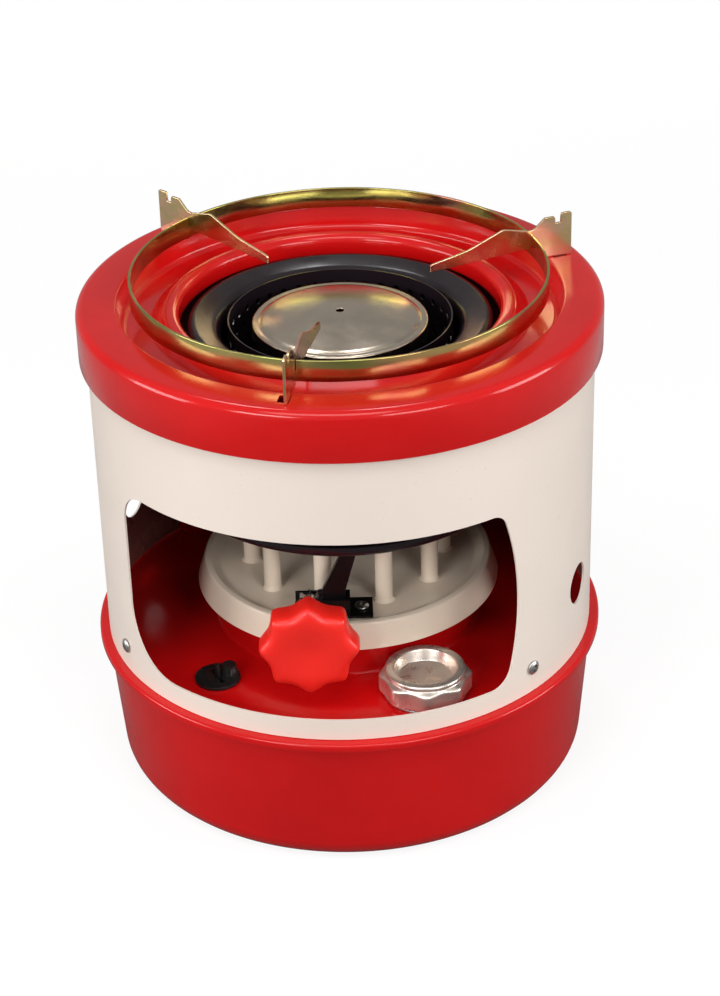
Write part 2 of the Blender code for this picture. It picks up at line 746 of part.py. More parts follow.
def wick_tubes(looks):
    """Ten tubes in one shared mesh; each has a shoulder that the burner base rests on."""
    low = -SHEET - TUBE_STUB
    shoulder = TUBE_EXPOSED - FIT_GAP
    outline = [
        (tube_bore, low), (TUBE_RADIUS, low), (TUBE_RADIUS, shoulder),
        (neck_radius, shoulder), (neck_radius, shoulder + TUBE_NECK),
        (tube_bore, shoulder + TUBE_NECK)]
    mesh = None
    for number, bearing in enumerate(wick_bearings(), 1):
        name = f"wick_tube_{number:02d}"
        place = at_bearing(WICK_CIRCLE, bearing, dish_floor_z)
        if mesh is None:
            mesh = turned(name, outline, TUBE_SIDES, looks["cream"], place).data
        else:
            place_mesh(name, mesh, looks["cream"], place)


def wicks(looks, parent):
    top = base_z - FIT_GAP + TUBE_NECK - WICK_SET_BACK
    outline = [(0, WICK_FOOT), (wick_radius, WICK_FOOT), (wick_radius, top), (0, top)]
    mesh = None
    for number, bearing in enumerate(wick_bearings(), 1):
        name = f"wick_{number:02d}"
        place = at_bearing(WICK_CIRCLE, bearing, 0)
        if mesh is None:
            item = turned(name, outline, TUBE_SIDES, looks["cotton"], place)
            mesh = item.data
        else:
            item = place_mesh(name, mesh, looks["cotton"], place)
        hang(item, parent)


def wick_carrier(looks, parent):
    """A ring plate under the dish with a gripping collar round each wick and a lug for the rack."""
    top = carrier_z + CARRIER_PLATE
    outline = [
        (WICK_CIRCLE - CARRIER_HALF_WIDTH, carrier_z), (WICK_CIRCLE + CARRIER_HALF_WIDTH, carrier_z),
        (WICK_CIRCLE + CARRIER_HALF_WIDTH, top), (WICK_CIRCLE - CARRIER_HALF_WIDTH, top)]
    item = turned("wick_carrier", outline, CAP_SIDES, looks["steel"])
    bore = wick_radius + FIT_GAP
    lug = box_shape(
        (rack_root_x, -rack_reach - RACK_THICK / 2, carrier_z),
        (rack_right_x, -rack_reach + RACK_THICK / 2 + CARRIER_LUG_LENGTH, top))
    combine(item, gathered("carrier_lug", [lug]), "UNION")
    middle = carrier_z + CARRIER_PLATE / 2
    grips = [
        rod_shape(bore + GRIP_WALL, at_bearing(WICK_CIRCLE, bearing, middle),
                  at_bearing(WICK_CIRCLE, bearing, top + GRIP_HEIGHT), TUBE_SIDES)
        for bearing in wick_bearings()]
    combine(item, gathered("carrier_grips", grips), "UNION")
    bores = [
        rod_shape(bore, at_bearing(WICK_CIRCLE, bearing, carrier_z - OVERCUT),
                  at_bearing(WICK_CIRCLE, bearing, top + GRIP_HEIGHT + OVERCUT), TUBE_SIDES)
        for bearing in wick_bearings()]
    combine(item, gathered("carrier_bores", bores), "DIFFERENCE")
    hang(item, parent)
    return item


def lift_rack(looks, parent):
    """A toothed strip that rises beside the pinion, its plain top leaning to the right."""
    low = carrier_z + CARRIER_PLATE + FIT_GAP
    tip_x = pitch_line_x - TOOTH_HEIGHT
    points = [(rack_root_x, low)]
    for tooth in range(-TRAVEL_TEETH - RACK_SPARE_TEETH, RACK_SPARE_TEETH + 1):
        middle = shaft_z + (tooth + TOOTH_SHIFT_SHARE) * tooth_pitch
        root = TOOTH_ROOT_SHARE * tooth_pitch / 2
        tip = TOOTH_TIP_SHARE * tooth_pitch / 2
        points += [
            (rack_root_x, middle - root), (tip_x, middle - tip),
            (tip_x, middle + tip), (rack_root_x, middle + root)]
    bend = shaft_z + RACK_TAIL_START
    top = bend + RACK_TAIL_RISE
    points += [
        (rack_root_x, bend), (rack_root_x + RACK_TAIL_LEAN, top),
        (rack_root_x + RACK_TAIL_LEAN + RACK_TAIL_WIDTH, top), (rack_right_x, bend),
        (rack_right_x, low)]
    frame = Matrix(((1, 0, 0), (0, 0, 1), (0, 1, 0)))
    place = (0, -rack_reach - RACK_THICK / 2, 0)
    item = extruded("lift_rack", points, RACK_THICK, looks["black"], place, frame)
    hang(item, parent)
    return item


def pinion_outline():
    """Straight-flanked teeth all round; the first points at the rack, into a gap between its teeth."""
    points = []
    root_radius = PITCH_RADIUS - TOOTH_DEPTH
    root = TOOTH_ROOT_SHARE * pi / PINION_TEETH
    tip = TOOTH_TIP_SHARE * pi / PINION_TEETH
    for tooth in range(PINION_TEETH):
        middle = 2 * pi * tooth / PINION_TEETH
        for radius, angle in (
                (root_radius, middle - root), (pinion_radius, middle - tip),
                (pinion_radius, middle + tip), (root_radius, middle + root)):
            points.append((radius * cos(angle), radius * sin(angle)))
    return points


def knob_pinion(looks, parent):
    frame = Matrix(((1, 0, 0), (0, 0, 1), (0, 1, 0)))
    item = extruded(
        "knob_pinion", pinion_outline(), PINION_WIDTH, looks["steel"],
        (-SHAFT_OFFSET, -rack_reach, shaft_z), Matrix.Identity(3))
    item.data.transform(Matrix.Translation((0, 0, -PINION_WIDTH / 2)))
    item.data.transform(frame.to_4x4())
    item.data.flip_normals()
    bore = rod(
        "pinion_bore", SHAFT_RADIUS + FIT_GAP, (0, -PINION_WIDTH, 0), (0, PINION_WIDTH, 0),
        ROD_SIDES, place=item.location)
    combine(item, bore, "DIFFERENCE")
    hang(item, parent)
    return item


def knob_shaft(looks, parent):
    far = -rack_reach + PINION_WIDTH / 2 + BRACKET_SIDE_ROOM + BRACKET_SHEET + FIT_GAP
    near = -knob_face_reach + KNOB_THICK + KNOB_HUB_LENGTH - KNOB_BORE_DEPTH + FIT_GAP
    place = Vector((-SHAFT_OFFSET, 0, shaft_z))
    item = rod("knob_shaft", SHAFT_RADIUS, (0, near, 0), (0, far, 0), ROD_SIDES, looks["steel"], place)
    hang(item, parent)
    return item


def control_knob(looks, parent):
    """An eight-pointed knob with hollow flanks, a round face on a wide chamfer and a hub behind."""
    total = KNOB_LOBES * KNOB_LOBE_POINTS
    shape = bmesh.new()
    outline = []
    for index in range(total):
        share = index % KNOB_LOBE_POINTS / KNOB_LOBE_POINTS
        reach = KNOB_RADIUS * (1 - KNOB_VALLEY_SHARE * sin(pi * share))
        angle = 2 * pi * index / total + radians(QUARTER_TURN)
        outline.append(shape.verts.new((reach * cos(angle), KNOB_CHAMFER_DEPTH, reach * sin(angle))))
    front = shape.faces.new(outline)
    grown = bmesh.ops.extrude_face_region(shape, geom=[front])
    back = [part for part in grown["geom"] if isinstance(part, bmesh.types.BMVert)]
    bmesh.ops.translate(shape, verts=back, vec=(0, KNOB_THICK - KNOB_CHAMFER_DEPTH, 0))
    grown = bmesh.ops.extrude_discrete_faces(shape, faces=[front])
    for vert in grown["faces"][0].verts:
        share = KNOB_RADIUS * KNOB_FACE_SHARE / hypot(vert.co.x, vert.co.z)
        vert.co = (vert.co.x * share, 0, vert.co.z * share)
    place = (-SHAFT_OFFSET, -knob_face_reach, shaft_z)
    item = add_object("control_knob", shape, looks["knob"], place)
    end = KNOB_THICK + KNOB_HUB_LENGTH
    hub = rod("knob_hub", KNOB_HUB_RADIUS, (0, KNOB_THICK / 2, 0), (0, end, 0), PORT_SIDES, place=place)
    combine(item, hub, "UNION")
    bore = rod(
        "knob_bore", SHAFT_RADIUS + FIT_GAP, (0, end - KNOB_BORE_DEPTH, 0), (0, end + OVERCUT, 0),
        ROD_SIDES, place=place)
    combine(item, bore, "DIFFERENCE")
    hang(item, parent)
    return item


def bracket_frame():
    """Faces of the bracket: front and rear plates in y, left end and right web in x, floor in z."""
    half = PINION_WIDTH / 2 + BRACKET_SIDE_ROOM
    return {
        "front": -rack_reach - half,
        "rear": -rack_reach + half,
        "left": -SHAFT_OFFSET - BRACKET_LEFT_REACH,
        "web": rack_right_x + 2 * FIT_GAP,
        "floor": dish_floor_z + FIT_GAP,
        "plates": shaft_z - BRACKET_PLATE_DROP}


def lifter_bracket(looks):
    """A sheet folded into a U round the rack, on one leg with a foot screwed to the dish."""
    at = bracket_frame()
    outer = at["web"] + BRACKET_SHEET
    fold = [
        (at["left"], at["front"] - BRACKET_SHEET), (outer, at["front"] - BRACKET_SHEET),
        (outer, at["rear"] + BRACKET_SHEET), (at["left"], at["rear"] + BRACKET_SHEET),
        (at["left"], at["rear"]), (at["web"], at["rear"]),
        (at["web"], at["front"]), (at["left"], at["front"])]
    rise = BRACKET_PLATE_DROP + BRACKET_TOP_RISE
    item = extruded(
        "lifter_bracket", fold, rise, looks["black"], (0, 0, at["plates"]), Matrix.Identity(3))
    foot_near = at["front"] - BRACKET_LEG_INSET
    foot = box_shape(
        (at["web"], foot_near, at["floor"]),
        (outer + BRACKET_FOOT_WIDTH, foot_near + BRACKET_FOOT_LENGTH, at["floor"] + BRACKET_SHEET))
    leg = box_shape(
        (at["web"], foot_near, at["floor"]), (outer, at["rear"], at["plates"] + rise))
    combine(item, add_object("bracket_foot", foot, None), "UNION")
    combine(item, add_object("bracket_leg", leg, None), "UNION")
    shaft_near = Vector((-SHAFT_OFFSET, at["front"] - OVERCUT, shaft_z))
    shaft_far = Vector((-SHAFT_OFFSET, at["rear"] + OVERCUT, shaft_z))
    screw = bracket_screw_place()
    cuts = [
        rod_shape(SHAFT_RADIUS + FIT_GAP, shaft_near, shaft_far, PORT_SIDES),
        rod_shape(SCREW_RADIUS + FIT_GAP, screw - Vector((0, 0, OVERCUT)),
                  screw + Vector((0, 0, OVERCUT)), ROD_SIDES)]
    combine(item, gathered("bracket_cuts", cuts), "DIFFERENCE")
    return item


def bracket_screw_place():
    at = bracket_frame()
    along = at["front"] - BRACKET_LEG_INSET + BRACKET_FOOT_LENGTH / 2
    across = at["web"] + BRACKET_SHEET + BRACKET_FOOT_WIDTH / 2
    return Vector((across, along, at["floor"] + BRACKET_SHEET))


def screw_outline(length):
    """A low round head on the seat z = 0 and a plain shank below it."""
    edge = SCREW_HEAD_HEIGHT / 2
    return [
        (0, -length), (SCREW_RADIUS, -length), (SCREW_RADIUS, FIT_GAP),
        (SCREW_HEAD_RADIUS, FIT_GAP), (SCREW_HEAD_RADIUS, edge),
        (SCREW_HEAD_RADIUS - edge, SCREW_HEAD_HEIGHT), (0, SCREW_HEAD_HEIGHT)]


def bracket_screw(looks, dish):
    place = bracket_screw_place()
    item = turned("bracket_screw", screw_outline(SCREW_LENGTH), TUBE_SIDES, looks["steel"], place)
    hole = rod(
        "dish_screw_hole", SCREW_RADIUS + FIT_GAP, (0, 0, -SCREW_LENGTH), (0, 0, OVERCUT),
        ROD_SIDES, place=place)
    combine(dish, hole, "DIFFERENCE")
    return item


def burner_base(looks):
    """A shallow tray with the central air opening, ten tube holes and ten air holes."""
    corners = [
        (base_opening_radius, base_z, 0),
        (base_radius - BASE_RIM_FLARE, base_z, BASE_RIM_FLARE),
        (base_radius, base_z + BASE_RIM, 0)]
    path = filleted(corners, EDGE_STEPS)
    item = turned("burner_base", sheet_outline(path, SHEET), BURNER_SIDES, looks["black"])
    low = base_z - OVERCUT
    high = base_z + SHEET + OVERCUT
    air_circle = (outer_sleeve_radius + casing_radius() - THIN_SHEET) / 2
    half_step = 180 / WICK_COUNT
    cuts = []
    for bearing in wick_bearings():
        cuts.append(rod_shape(
            neck_radius + FIT_GAP, at_bearing(WICK_CIRCLE, bearing, low),
            at_bearing(WICK_CIRCLE, bearing, high), TUBE_SIDES))
        cuts.append(rod_shape(
            AIR_HOLE_RADIUS, at_bearing(air_circle, bearing + half_step, low),
            at_bearing(air_circle, bearing + half_step, high), TUBE_SIDES))
    combine(item, gathered("base_cuts", cuts), "DIFFERENCE")
    return item


def casing_radius():
    return flame_ring_radius - THIN_SHEET - FIT_GAP


def burner_casing(looks):
    floor = base_z + SHEET + FIT_GAP
    radius = casing_radius()
    share = (radius - THIN_SHEET / 2 - flame_ring_inner) / (flame_ring_radius - flame_ring_inner)
    under = burner_top_z - FLAME_RING_SLOPE * (1 - share) - 2 * THIN_SHEET - FIT_GAP
    path = [(radius, floor), (radius, under - CASING_TOP_ROOM)]
    return turned("burner_casing", sheet_outline(path, THIN_SHEET), BURNER_SIDES, looks["black"])


def flame_ring(looks):
    """The casing's black top ring: a short skirt, a round shoulder and a coned top face."""
    corners = [
        (flame_ring_radius, burner_top_z - FLAME_RING_SKIRT, 0),
        (flame_ring_radius, burner_top_z, FLAME_RING_ROUNDING),
        (flame_ring_inner, burner_top_z - FLAME_RING_SLOPE, 0),
        (flame_ring_inner, burner_top_z - FLAME_RING_SLOPE - FLAME_RING_LIP, 0)]
    path = filleted(corners, FILLET_STEPS)
    return turned("flame_ring", sheet_outline(path, THIN_SHEET), BURNER_SIDES, looks["black"])


def sleeve_holes(radius, low, high):
    """Rows of round holes, one column in the middle of every other flat side."""
    loops = []
    arc = 2 * pi * radius / SLEEVE_COLUMNS
    rise = (high - low) / (SLEEVE_ROWS + 1)
    for column in range(SLEEVE_COLUMNS):
        along = -pi * radius + arc * (column + SLEEVE_SHIFT_SHARE)
        for row in range(SLEEVE_ROWS):
            height = low + rise * (row + 1)
            loops.append(round_loop(along, height, SLEEVE_HOLE_RADIUS, SLEEVE_HOLE_SIDES))
    return loops


def sleeve(name, radius, top, looks):
    low = base_z + SHEET + FIT_GAP
    holes = sleeve_holes(radius, low, top)
    return rolled_sheet(
        name, radius, THIN_SHEET, low, top, holes, SLEEVE_COLUMNS * 2, looks["black"])


def burner_cap(looks):
    """The pale disc: a skirt over the inner sleeve, a bead and a low dome with a centre hole."""
    rim_z = burner_top_z - CAP_RIM_DROP
    inner = cap_radius - CAP_RIM_WIDTH
    path = filleted([
        (cap_radius, rim_z - CAP_SKIRT, 0),
        (cap_radius, rim_z, CAP_ROUNDING),
        (inner, rim_z - CAP_BEAD_DIP, 0)], FILLET_STEPS)
    for step in range(1, CAP_DOME_STEPS + 1):
        share = step / CAP_DOME_STEPS
        reach = inner + (CAP_HOLE_RADIUS - inner) * share
        path.append((reach, rim_z + CAP_DOME * sin(pi / 2 * share)))
    return turned("burner_cap", sheet_outline(path, THIN_SHEET), CAP_SIDES, looks["zinc"])


def inner_sleeve_radius():
    return (cap_radius - THIN_SHEET) * cos(pi / CAP_SIDES) - FIT_GAP


def cap_seat_z():
    """Where the inner sleeve's top edge stops, under the turned edge of the cap."""
    return burner_top_z - CAP_RIM_DROP - THIN_SHEET - CAP_ROUNDING - FIT_GAP


def shell_screw_bearings():
    front = SHELL_SCREW_SPREAD
    return [WINDOW_BEARING + turn for turn in (-front, front, 180 - front, front - 180)]


def body_shell(looks):
    """A rolled sheet with the rounded front window, two air ports and four screw holes."""
    low = deck_z + FIT_GAP
    top = cover_top_z - SHEET - FIT_GAP
    per_degree = pi * shell_radius / 180
    sill = deck_z + WINDOW_SILL
    left = (WINDOW_BEARING - WINDOW_HALF_ANGLE) * per_degree
    right = (WINDOW_BEARING + WINDOW_HALF_ANGLE) * per_degree
    window = filleted([
        (left, sill, WINDOW_LOW_LEFT),
        (right - WINDOW_LOW_LEAN, sill, WINDOW_LOW_RIGHT),
        (right + WINDOW_BULGE, sill + WINDOW_HEIGHT * WINDOW_BULGE_SHARE, WINDOW_BULGE_ROUNDING),
        (right - WINDOW_TOP_LEAN, sill + WINDOW_HEIGHT, WINDOW_TOP_RIGHT),
        (left, sill + WINDOW_HEIGHT, WINDOW_TOP_LEFT)], WINDOW_STEPS, closed=True)
    cutouts = [window]
    for bearing in AIR_PORT_BEARINGS:
        cutouts.append(round_loop(
            bearing * per_degree, deck_z + AIR_PORT_RISE, AIR_PORT_RADIUS, PORT_SIDES))
    for bearing in shell_screw_bearings():
        wrapped = (bearing + 180) % 360 - 180
        cutouts.append(round_loop(
            wrapped * per_degree, deck_z + SHELL_SCREW_RISE, SCREW_RADIUS + FIT_GAP, TUBE_SIDES))
    return rolled_sheet("body_shell", shell_radius, SHEET, low, top, cutouts, BODY_SIDES, looks["cream"])


def shell_fastening(number, bearing, looks):
    """An angle lug on the deck behind the shell, and the screw that passes through both."""
    turn = radians(bearing)
    flat = (shell_radius - SHEET) * cos(pi / BODY_SIDES) - 2 * FIT_GAP
    floor = deck_z + FIT_GAP
    height = SHELL_SCREW_RISE + LUG_HEAD_ROOM
    back = flat - SHEET
    side = [
        (flat, 0), (flat, height), (back, height), (back, SHEET), (flat - LUG_FOOT, SHEET),
        (flat - LUG_FOOT, 0)]
    frame = Matrix(((0, 0, 1), (-1, 0, 0), (0, 1, 0)))
    lug = extruded(f"shell_lug_{number}", side, LUG_WIDTH, looks["tank"], (0, 0, floor), frame)
    lug.data.transform(Matrix.Translation((-LUG_WIDTH / 2, 0, 0)))
    lug.rotation_euler.z = turn
    rise = deck_z + SHELL_SCREW_RISE
    hole = rod(
        f"lug_hole_{number}", SCREW_RADIUS + FIT_GAP, at_bearing(back - OVERCUT, bearing, rise),
        at_bearing(flat + OVERCUT, bearing, rise), TUBE_SIDES)
    combine(lug, hole, "DIFFERENCE")
    screw = turned(
        f"shell_screw_{number}", screw_outline(SCREW_LENGTH), TUBE_SIDES, looks["steel"],
        at_bearing(shell_radius, bearing, rise))
    screw.rotation_euler = (pi / 2, 0, turn)


def top_cover(looks, parent):
    """A pressed cover: skirt, flat rim, step into a groove and a rolled lip round the burner."""
    floor_z = cover_top_z - GROOVE_DEPTH
    lip_z = cover_top_z - LIP_DROP
    corners = [
        (cover_radius, cover_top_z - COVER_SKIRT, 0),
        (cover_radius, cover_top_z, COVER_EDGE),
        (step_radius, cover_top_z, 0),
        (step_radius - STEP_LEAN, floor_z, 0),
        (groove_inner_radius, floor_z, 0),
        (lip_radius, lip_z, 0),
        (lip_opening_radius, lip_z, COVER_EDGE),
        (lip_opening_radius, lip_z - LIP_TAIL - COVER_EDGE, 0)]
    path = filleted(corners, FILLET_STEPS)
    item = turned("top_cover", sheet_outline(path, SHEET), BODY_SIDES, looks["red"])
    slots = []
    for bearing in FIN_BEARINGS:
        near, far = tab_span()
        side = STAND_SHEET / 2 + FIT_GAP
        slot = box_shape(
            (-side - TAB_SLOT_SIDE_ROOM, -far - FIT_GAP, -SHEET - OVERCUT),
            (side, -near + FIT_GAP, OVERCUT))
        turn = Matrix.Rotation(radians(bearing), 4, "Z")
        bmesh.ops.transform(slot, matrix=turn, verts=slot.verts)
        bmesh.ops.translate(slot, vec=(0, 0, cover_top_z), verts=slot.verts)
        slots.append(slot)
    combine(item, gathered("tab_slots", slots), "DIFFERENCE")
    hang(item, parent)
    return item


def tab_span():
    middle = fin_outer_radius - FIN_FOOT_LENGTH / 2
    return middle - TAB_LENGTH / 2, middle + TAB_LENGTH / 2


def ring_levels():
    low = cover_top_z + RING_LIFT
    return low, low + RING_HEIGHT / 2, low + RING_HEIGHT


def stand_ring(looks, parent):
    """A flat band on edge, slotted from above where the fins cross it."""
    low, middle, top = ring_levels()
    inner = ring_inner_radius
    outline = [(inner, low), (ring_radius, low), (ring_radius, top), (inner, top)]
    item = turned("stand_ring", outline, BODY_SIDES, looks["passivated"])
    side = STAND_SHEET / 2 + FIT_GAP
    slots = []
    for bearing in FIN_BEARINGS:
        slot = box_shape(
            (-side, -ring_radius - OVERCUT, middle - FIT_GAP / 2),
            (side, -inner + OVERCUT, top + OVERCUT))
        turn = Matrix.Rotation(radians(bearing), 4, "Z")
        bmesh.ops.transform(slot, matrix=turn, verts=slot.verts)
        slots.append(slot)
    combine(item, gathered("ring_slots", slots), "DIFFERENCE")
    hang(item, parent)
    return item


def fin_outline():
    """The fin's side view as (radius, height above the cover), tip first, along its top edge."""
    low, middle, top = ring_levels()
    foot = FIT_GAP
    outer = fin_outer_radius
    horn = outer - FIN_HORN_WIDTH
    notch = horn - FIN_NOTCH_WIDTH
    shoulder = notch - FIN_SHOULDER_WIDTH
    near, far = tab_span()
    ring_in = ring_inner_radius * cos(pi / BODY_SIDES) - FIT_GAP
    ring_out = ring_radius + FIT_GAP
    lap = middle - cover_top_z + FIT_GAP / 2
    tip = FIN_TIP_RISE
    inner_end = ring_radius - FIN_REACH
    return filleted([
        (inner_end, tip, 0),
        (inner_end, tip + FIN_TIP_HEIGHT, FIN_TIP_ROUNDING),
        (ring_radius - FIN_WAIST_SET_BACK, FIN_WAIST_RISE, FIN_WAIST_BEND),
        (ring_radius - FIN_HUMP_SET_BACK, FIN_HUMP_RISE, FIN_BEND),
        ((ring_in + ring_out) / 2, FIN_SADDLE_RISE, FIN_BEND),
        (shoulder, FIN_SHOULDER_RISE, FIN_EDGE),
        (notch, FIN_SHOULDER_RISE, FIN_EDGE),
        (notch + FIT_GAP, FIN_NOTCH_RISE, 0),
        (horn - FIT_GAP, FIN_NOTCH_RISE, 0),
        (horn, FIN_HORN_RISE, FIN_EDGE),
        (outer, FIN_HORN_RISE, FIN_EDGE),
        (outer, foot, 0),
        (far, foot, 0),
        (far, -TAB_DEPTH, 0),
        (near, -TAB_DEPTH, 0),
        (near, foot, 0),
        (outer - FIN_FOOT_LENGTH, foot, 0),
        (ring_out, foot, 0),
        (ring_out, lap, 0),
        (ring_in, lap, 0),
        (ring_in, FIN_BELLY_RISE, 0)], FILLET_STEPS, closed=True)


def stand_fins(looks, parent):
    frame = Matrix(((0, 0, 1), (-1, 0, 0), (0, 1, 0)))
    mesh = None
    for number, bearing in enumerate(FIN_BEARINGS, 1):
        name = f"stand_fin_{number}"
        place = (0, 0, cover_top_z)
        if mesh is None:
            item = extruded(name, fin_outline(), STAND_SHEET, looks["passivated"], place, frame)
            mesh = item.data
            mesh.transform(Matrix.Translation((-STAND_SHEET / 2, 0, 0)))
        else:
            item = place_mesh(name, mesh, looks["passivated"], place)
        item.rotation_euler.z = radians(bearing)
        hang(item, parent)


def build():
    clear_scene()
    looks = make_looks()
    knob_axis = empty("knob_axis", (-SHAFT_OFFSET, -knob_face_reach, shaft_z))
    wick_axis = empty("wick_lift", (0, 0, carrier_z))
    float_axis = empty("float_pivot", at_bearing(gauge_reach, GAUGE_BEARING, deck_z - PIVOT_DROP))
    cap_axis = empty("cap_screw", at_bearing(filler_reach, FILLER_BEARING, deck_z))
    cover_axis = empty("cover_lift", (0, 0, cover_top_z))
    stand_axis = empty("stand_lift", (0, 0, cover_top_z), cover_axis)
    tank_pan(looks)
    tank_top(looks)
    filler_neck(looks)
    hang(filler_gasket(looks), cap_axis)
    hang(filler_cap(looks), cap_axis)
    gauge_bezel(looks)
    gauge_float(looks, float_axis)
    dish = wick_dish(looks)
    wick_tubes(looks)
    wick_carrier(looks, wick_axis)
    wicks(looks, wick_axis)
    lift_rack(looks, wick_axis)
    lifter_bracket(looks)
    bracket_screw(looks, dish)
    knob_pinion(looks, knob_axis)
    knob_shaft(looks, knob_axis)
    control_knob(looks, knob_axis)
    burner_base(looks)
    burner_casing(looks)
    flame_ring(looks)
    sleeve("outer_sleeve", outer_sleeve_radius, burner_top_z - SLEEVE_TOP_DROP, looks)
    sleeve("inner_sleeve", inner_sleeve_radius(), cap_seat_z(), looks)
    burner_cap(looks)
    body_shell(looks)
    for number, bearing in enumerate(shell_screw_bearings(), 1):
        shell_fastening(number, bearing, looks)
    top_cover(looks, cover_axis)
    stand_ring(looks, stand_axis)
    stand_fins(looks, stand_axis)


build()
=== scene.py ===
from math import atan2, cos, hypot, pi, radians, sin, sqrt, tan

import bmesh
import bpy
from mathutils import Matrix, Vector


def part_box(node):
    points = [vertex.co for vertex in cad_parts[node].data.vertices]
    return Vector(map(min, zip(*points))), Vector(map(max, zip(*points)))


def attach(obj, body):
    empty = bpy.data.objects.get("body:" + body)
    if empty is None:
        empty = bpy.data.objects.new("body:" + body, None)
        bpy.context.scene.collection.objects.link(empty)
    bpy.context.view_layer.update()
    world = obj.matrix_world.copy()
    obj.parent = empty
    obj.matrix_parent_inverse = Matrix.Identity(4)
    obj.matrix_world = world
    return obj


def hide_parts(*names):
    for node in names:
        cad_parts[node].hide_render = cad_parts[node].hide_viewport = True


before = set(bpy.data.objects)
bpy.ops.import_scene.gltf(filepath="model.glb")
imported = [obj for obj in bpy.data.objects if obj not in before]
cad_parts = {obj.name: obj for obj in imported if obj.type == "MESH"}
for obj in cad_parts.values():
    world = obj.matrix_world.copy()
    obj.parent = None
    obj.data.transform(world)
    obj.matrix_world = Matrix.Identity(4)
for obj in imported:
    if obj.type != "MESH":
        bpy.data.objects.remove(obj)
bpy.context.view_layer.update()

# All lengths are metres. Bearings are degrees round the upright axis, 0 at the front, positive to the right.
tiny = 0.000001
weld = tiny * 20  # points of a punched sheet closer than this are one
steel = {"wall": 0.0009, "thinWall": 0.0006, "edgeShare": 0.35, "gap": 0.0003}
drop = steel["wall"] * 4  # how far a cutting shape goes past the sheet that it cuts
faceFront = Matrix.Rotation(pi / 2, 3, "X")  # turns a piece's upper side to the front
rounds = {"body": 160, "burner": 128, "small": 64, "port": 48, "rod": 32, "screwHole": 20}  # sides
print("frame loaded:", len(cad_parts), "solids")


def aroundAxis(reach, bearing, height):
    angle = radians(bearing)
    return Vector((reach * sin(angle), -reach * cos(angle), height))


def turnedTo(bearing):
    return Matrix.Rotation(radians(bearing), 3, "Z")


def softCorners(corners, steps, closed=False):  # corners are (x, z, radius)
    points = []
    for index, (x, z, radius) in enumerate(corners):
        atEnd = not closed and index in (0, len(corners) - 1)
        if radius == 0 or atEnd:
            points.append((x, z))
            continue
        here = Vector((x, z))
        back = (Vector(corners[index - 1][:2]) - here).normalized()
        ahead = (Vector(corners[(index + 1) % len(corners)][:2]) - here).normalized()
        half = back.angle(ahead) / 2
        middle = here + (back + ahead).normalized() * radius / sin(half)
        start = here + back * radius / tan(half) - middle
        sweep = start.angle_signed(here + ahead * radius / tan(half) - middle)
        for step in range(steps + 1):
            points.append(tuple(middle + Matrix.Rotation(-sweep * step / steps, 2) @ start))
    return points


def besidePath(path, distance):  # the path moved to its left
    shifted = []
    for index, here in enumerate(path):
        runs = []
        if index > 0:
            runs.append(Vector(here) - Vector(path[index - 1]))
        if index < len(path) - 1:
            runs.append(Vector(path[index + 1]) - Vector(here))
        sides = [Vector((-run.y, run.x)).normalized() for run in runs]
        total = sides[0] + sides[-1]
        shift = total * (distance * 2 / total.length_squared)
        shifted.append((here[0] + shift.x, here[1] + shift.y))
    return shifted


def rodLoop(radius, low, high, edge):  # a solid rod, for the lathe
    return softCorners([(0, low, 0), (radius, low, edge), (radius, high, edge), (0, high, 0)], steps=3)


def bandLoop(inner, outer, low, high, edge):  # a ring of a four-sided section, for the lathe
    corners = [(inner, low, edge), (outer, low, edge), (outer, high, edge), (inner, high, edge)]
    return softCorners(corners, steps=3, closed=True)


def sheetLoop(path, wall):  # a bent sheet seen edge on, its cut ends rounded
    loop = [(x, z, 0) for x, z in path + besidePath(path, wall)[::-1]]
    startsOnAxis = path[0][0] < tiny
    endsOnAxis = path[-1][0] < tiny
    cutEnds = {0, len(path) - 1, len(path), len(loop) - 1}
    if startsOnAxis:
        cutEnds = {len(path) - 1, len(path)}
    if endsOnAxis:
        cutEnds = {0, len(loop) - 1}
    for index in cutEnds:
        loop[index] = (*loop[index][:2], wall * steel["edgeShare"])
    if endsOnAxis:  # start and end the loop on the axis
        loop = loop[len(path):] + loop[:len(path)]
    return softCorners(loop, steps=2, closed=not (startsOnAxis or endsOnAxis))


def merge(shape, distance=tiny):
    bmesh.ops.remove_doubles(shape, verts=shape.verts, dist=distance)


def lathe(loop, steps):
    shape = bmesh.new()
    points = [shape.verts.new((reach, 0, height)) for reach, height in loop]
    onAxis = loop[0][0] < tiny and loop[-1][0] < tiny
    ends = points[1:] if onAxis else points[1:] + points[:1]
    edges = [shape.edges.new(pair) for pair in zip(points, ends)]
    bmesh.ops.spin(
        shape, geom=points + edges, cent=(0, 0, 0), axis=(0, 0, 1),
        angle=2 * pi, steps=steps, use_merge=True)
    merge(shape)
    return shape


def vertsOf(result):  # the points among what an operator made
    return [part for part in result["geom"] if isinstance(part, bmesh.types.BMVert)]


def thickened(shape, radius, wall):  # a rolled sheet given its wall, towards the axis
    bmesh.ops.recalc_face_normals(shape, faces=shape.faces)
    inner = vertsOf(bmesh.ops.extrude_face_region(shape, geom=shape.faces[:]))
    share = (radius - wall) / radius
    bmesh.ops.scale(shape, vec=(share, share, 1), verts=inner)
    return shape


def rodShape(radius, start, end, sides, farRadius=None):
    shape = bmesh.new()
    run = Vector(end) - Vector(start)
    bmesh.ops.create_cone(
        shape, cap_ends=True, segments=sides, radius1=radius,
        radius2=radius if farRadius is None else farRadius, depth=run.length)
    turn = Vector((0, 0, 1)).rotation_difference(run).to_matrix().to_4x4()
    bmesh.ops.transform(shape, matrix=turn, verts=shape.verts)
    bmesh.ops.translate(shape, vec=(Vector(start) + Vector(end)) / 2, verts=shape.verts)
    return shape


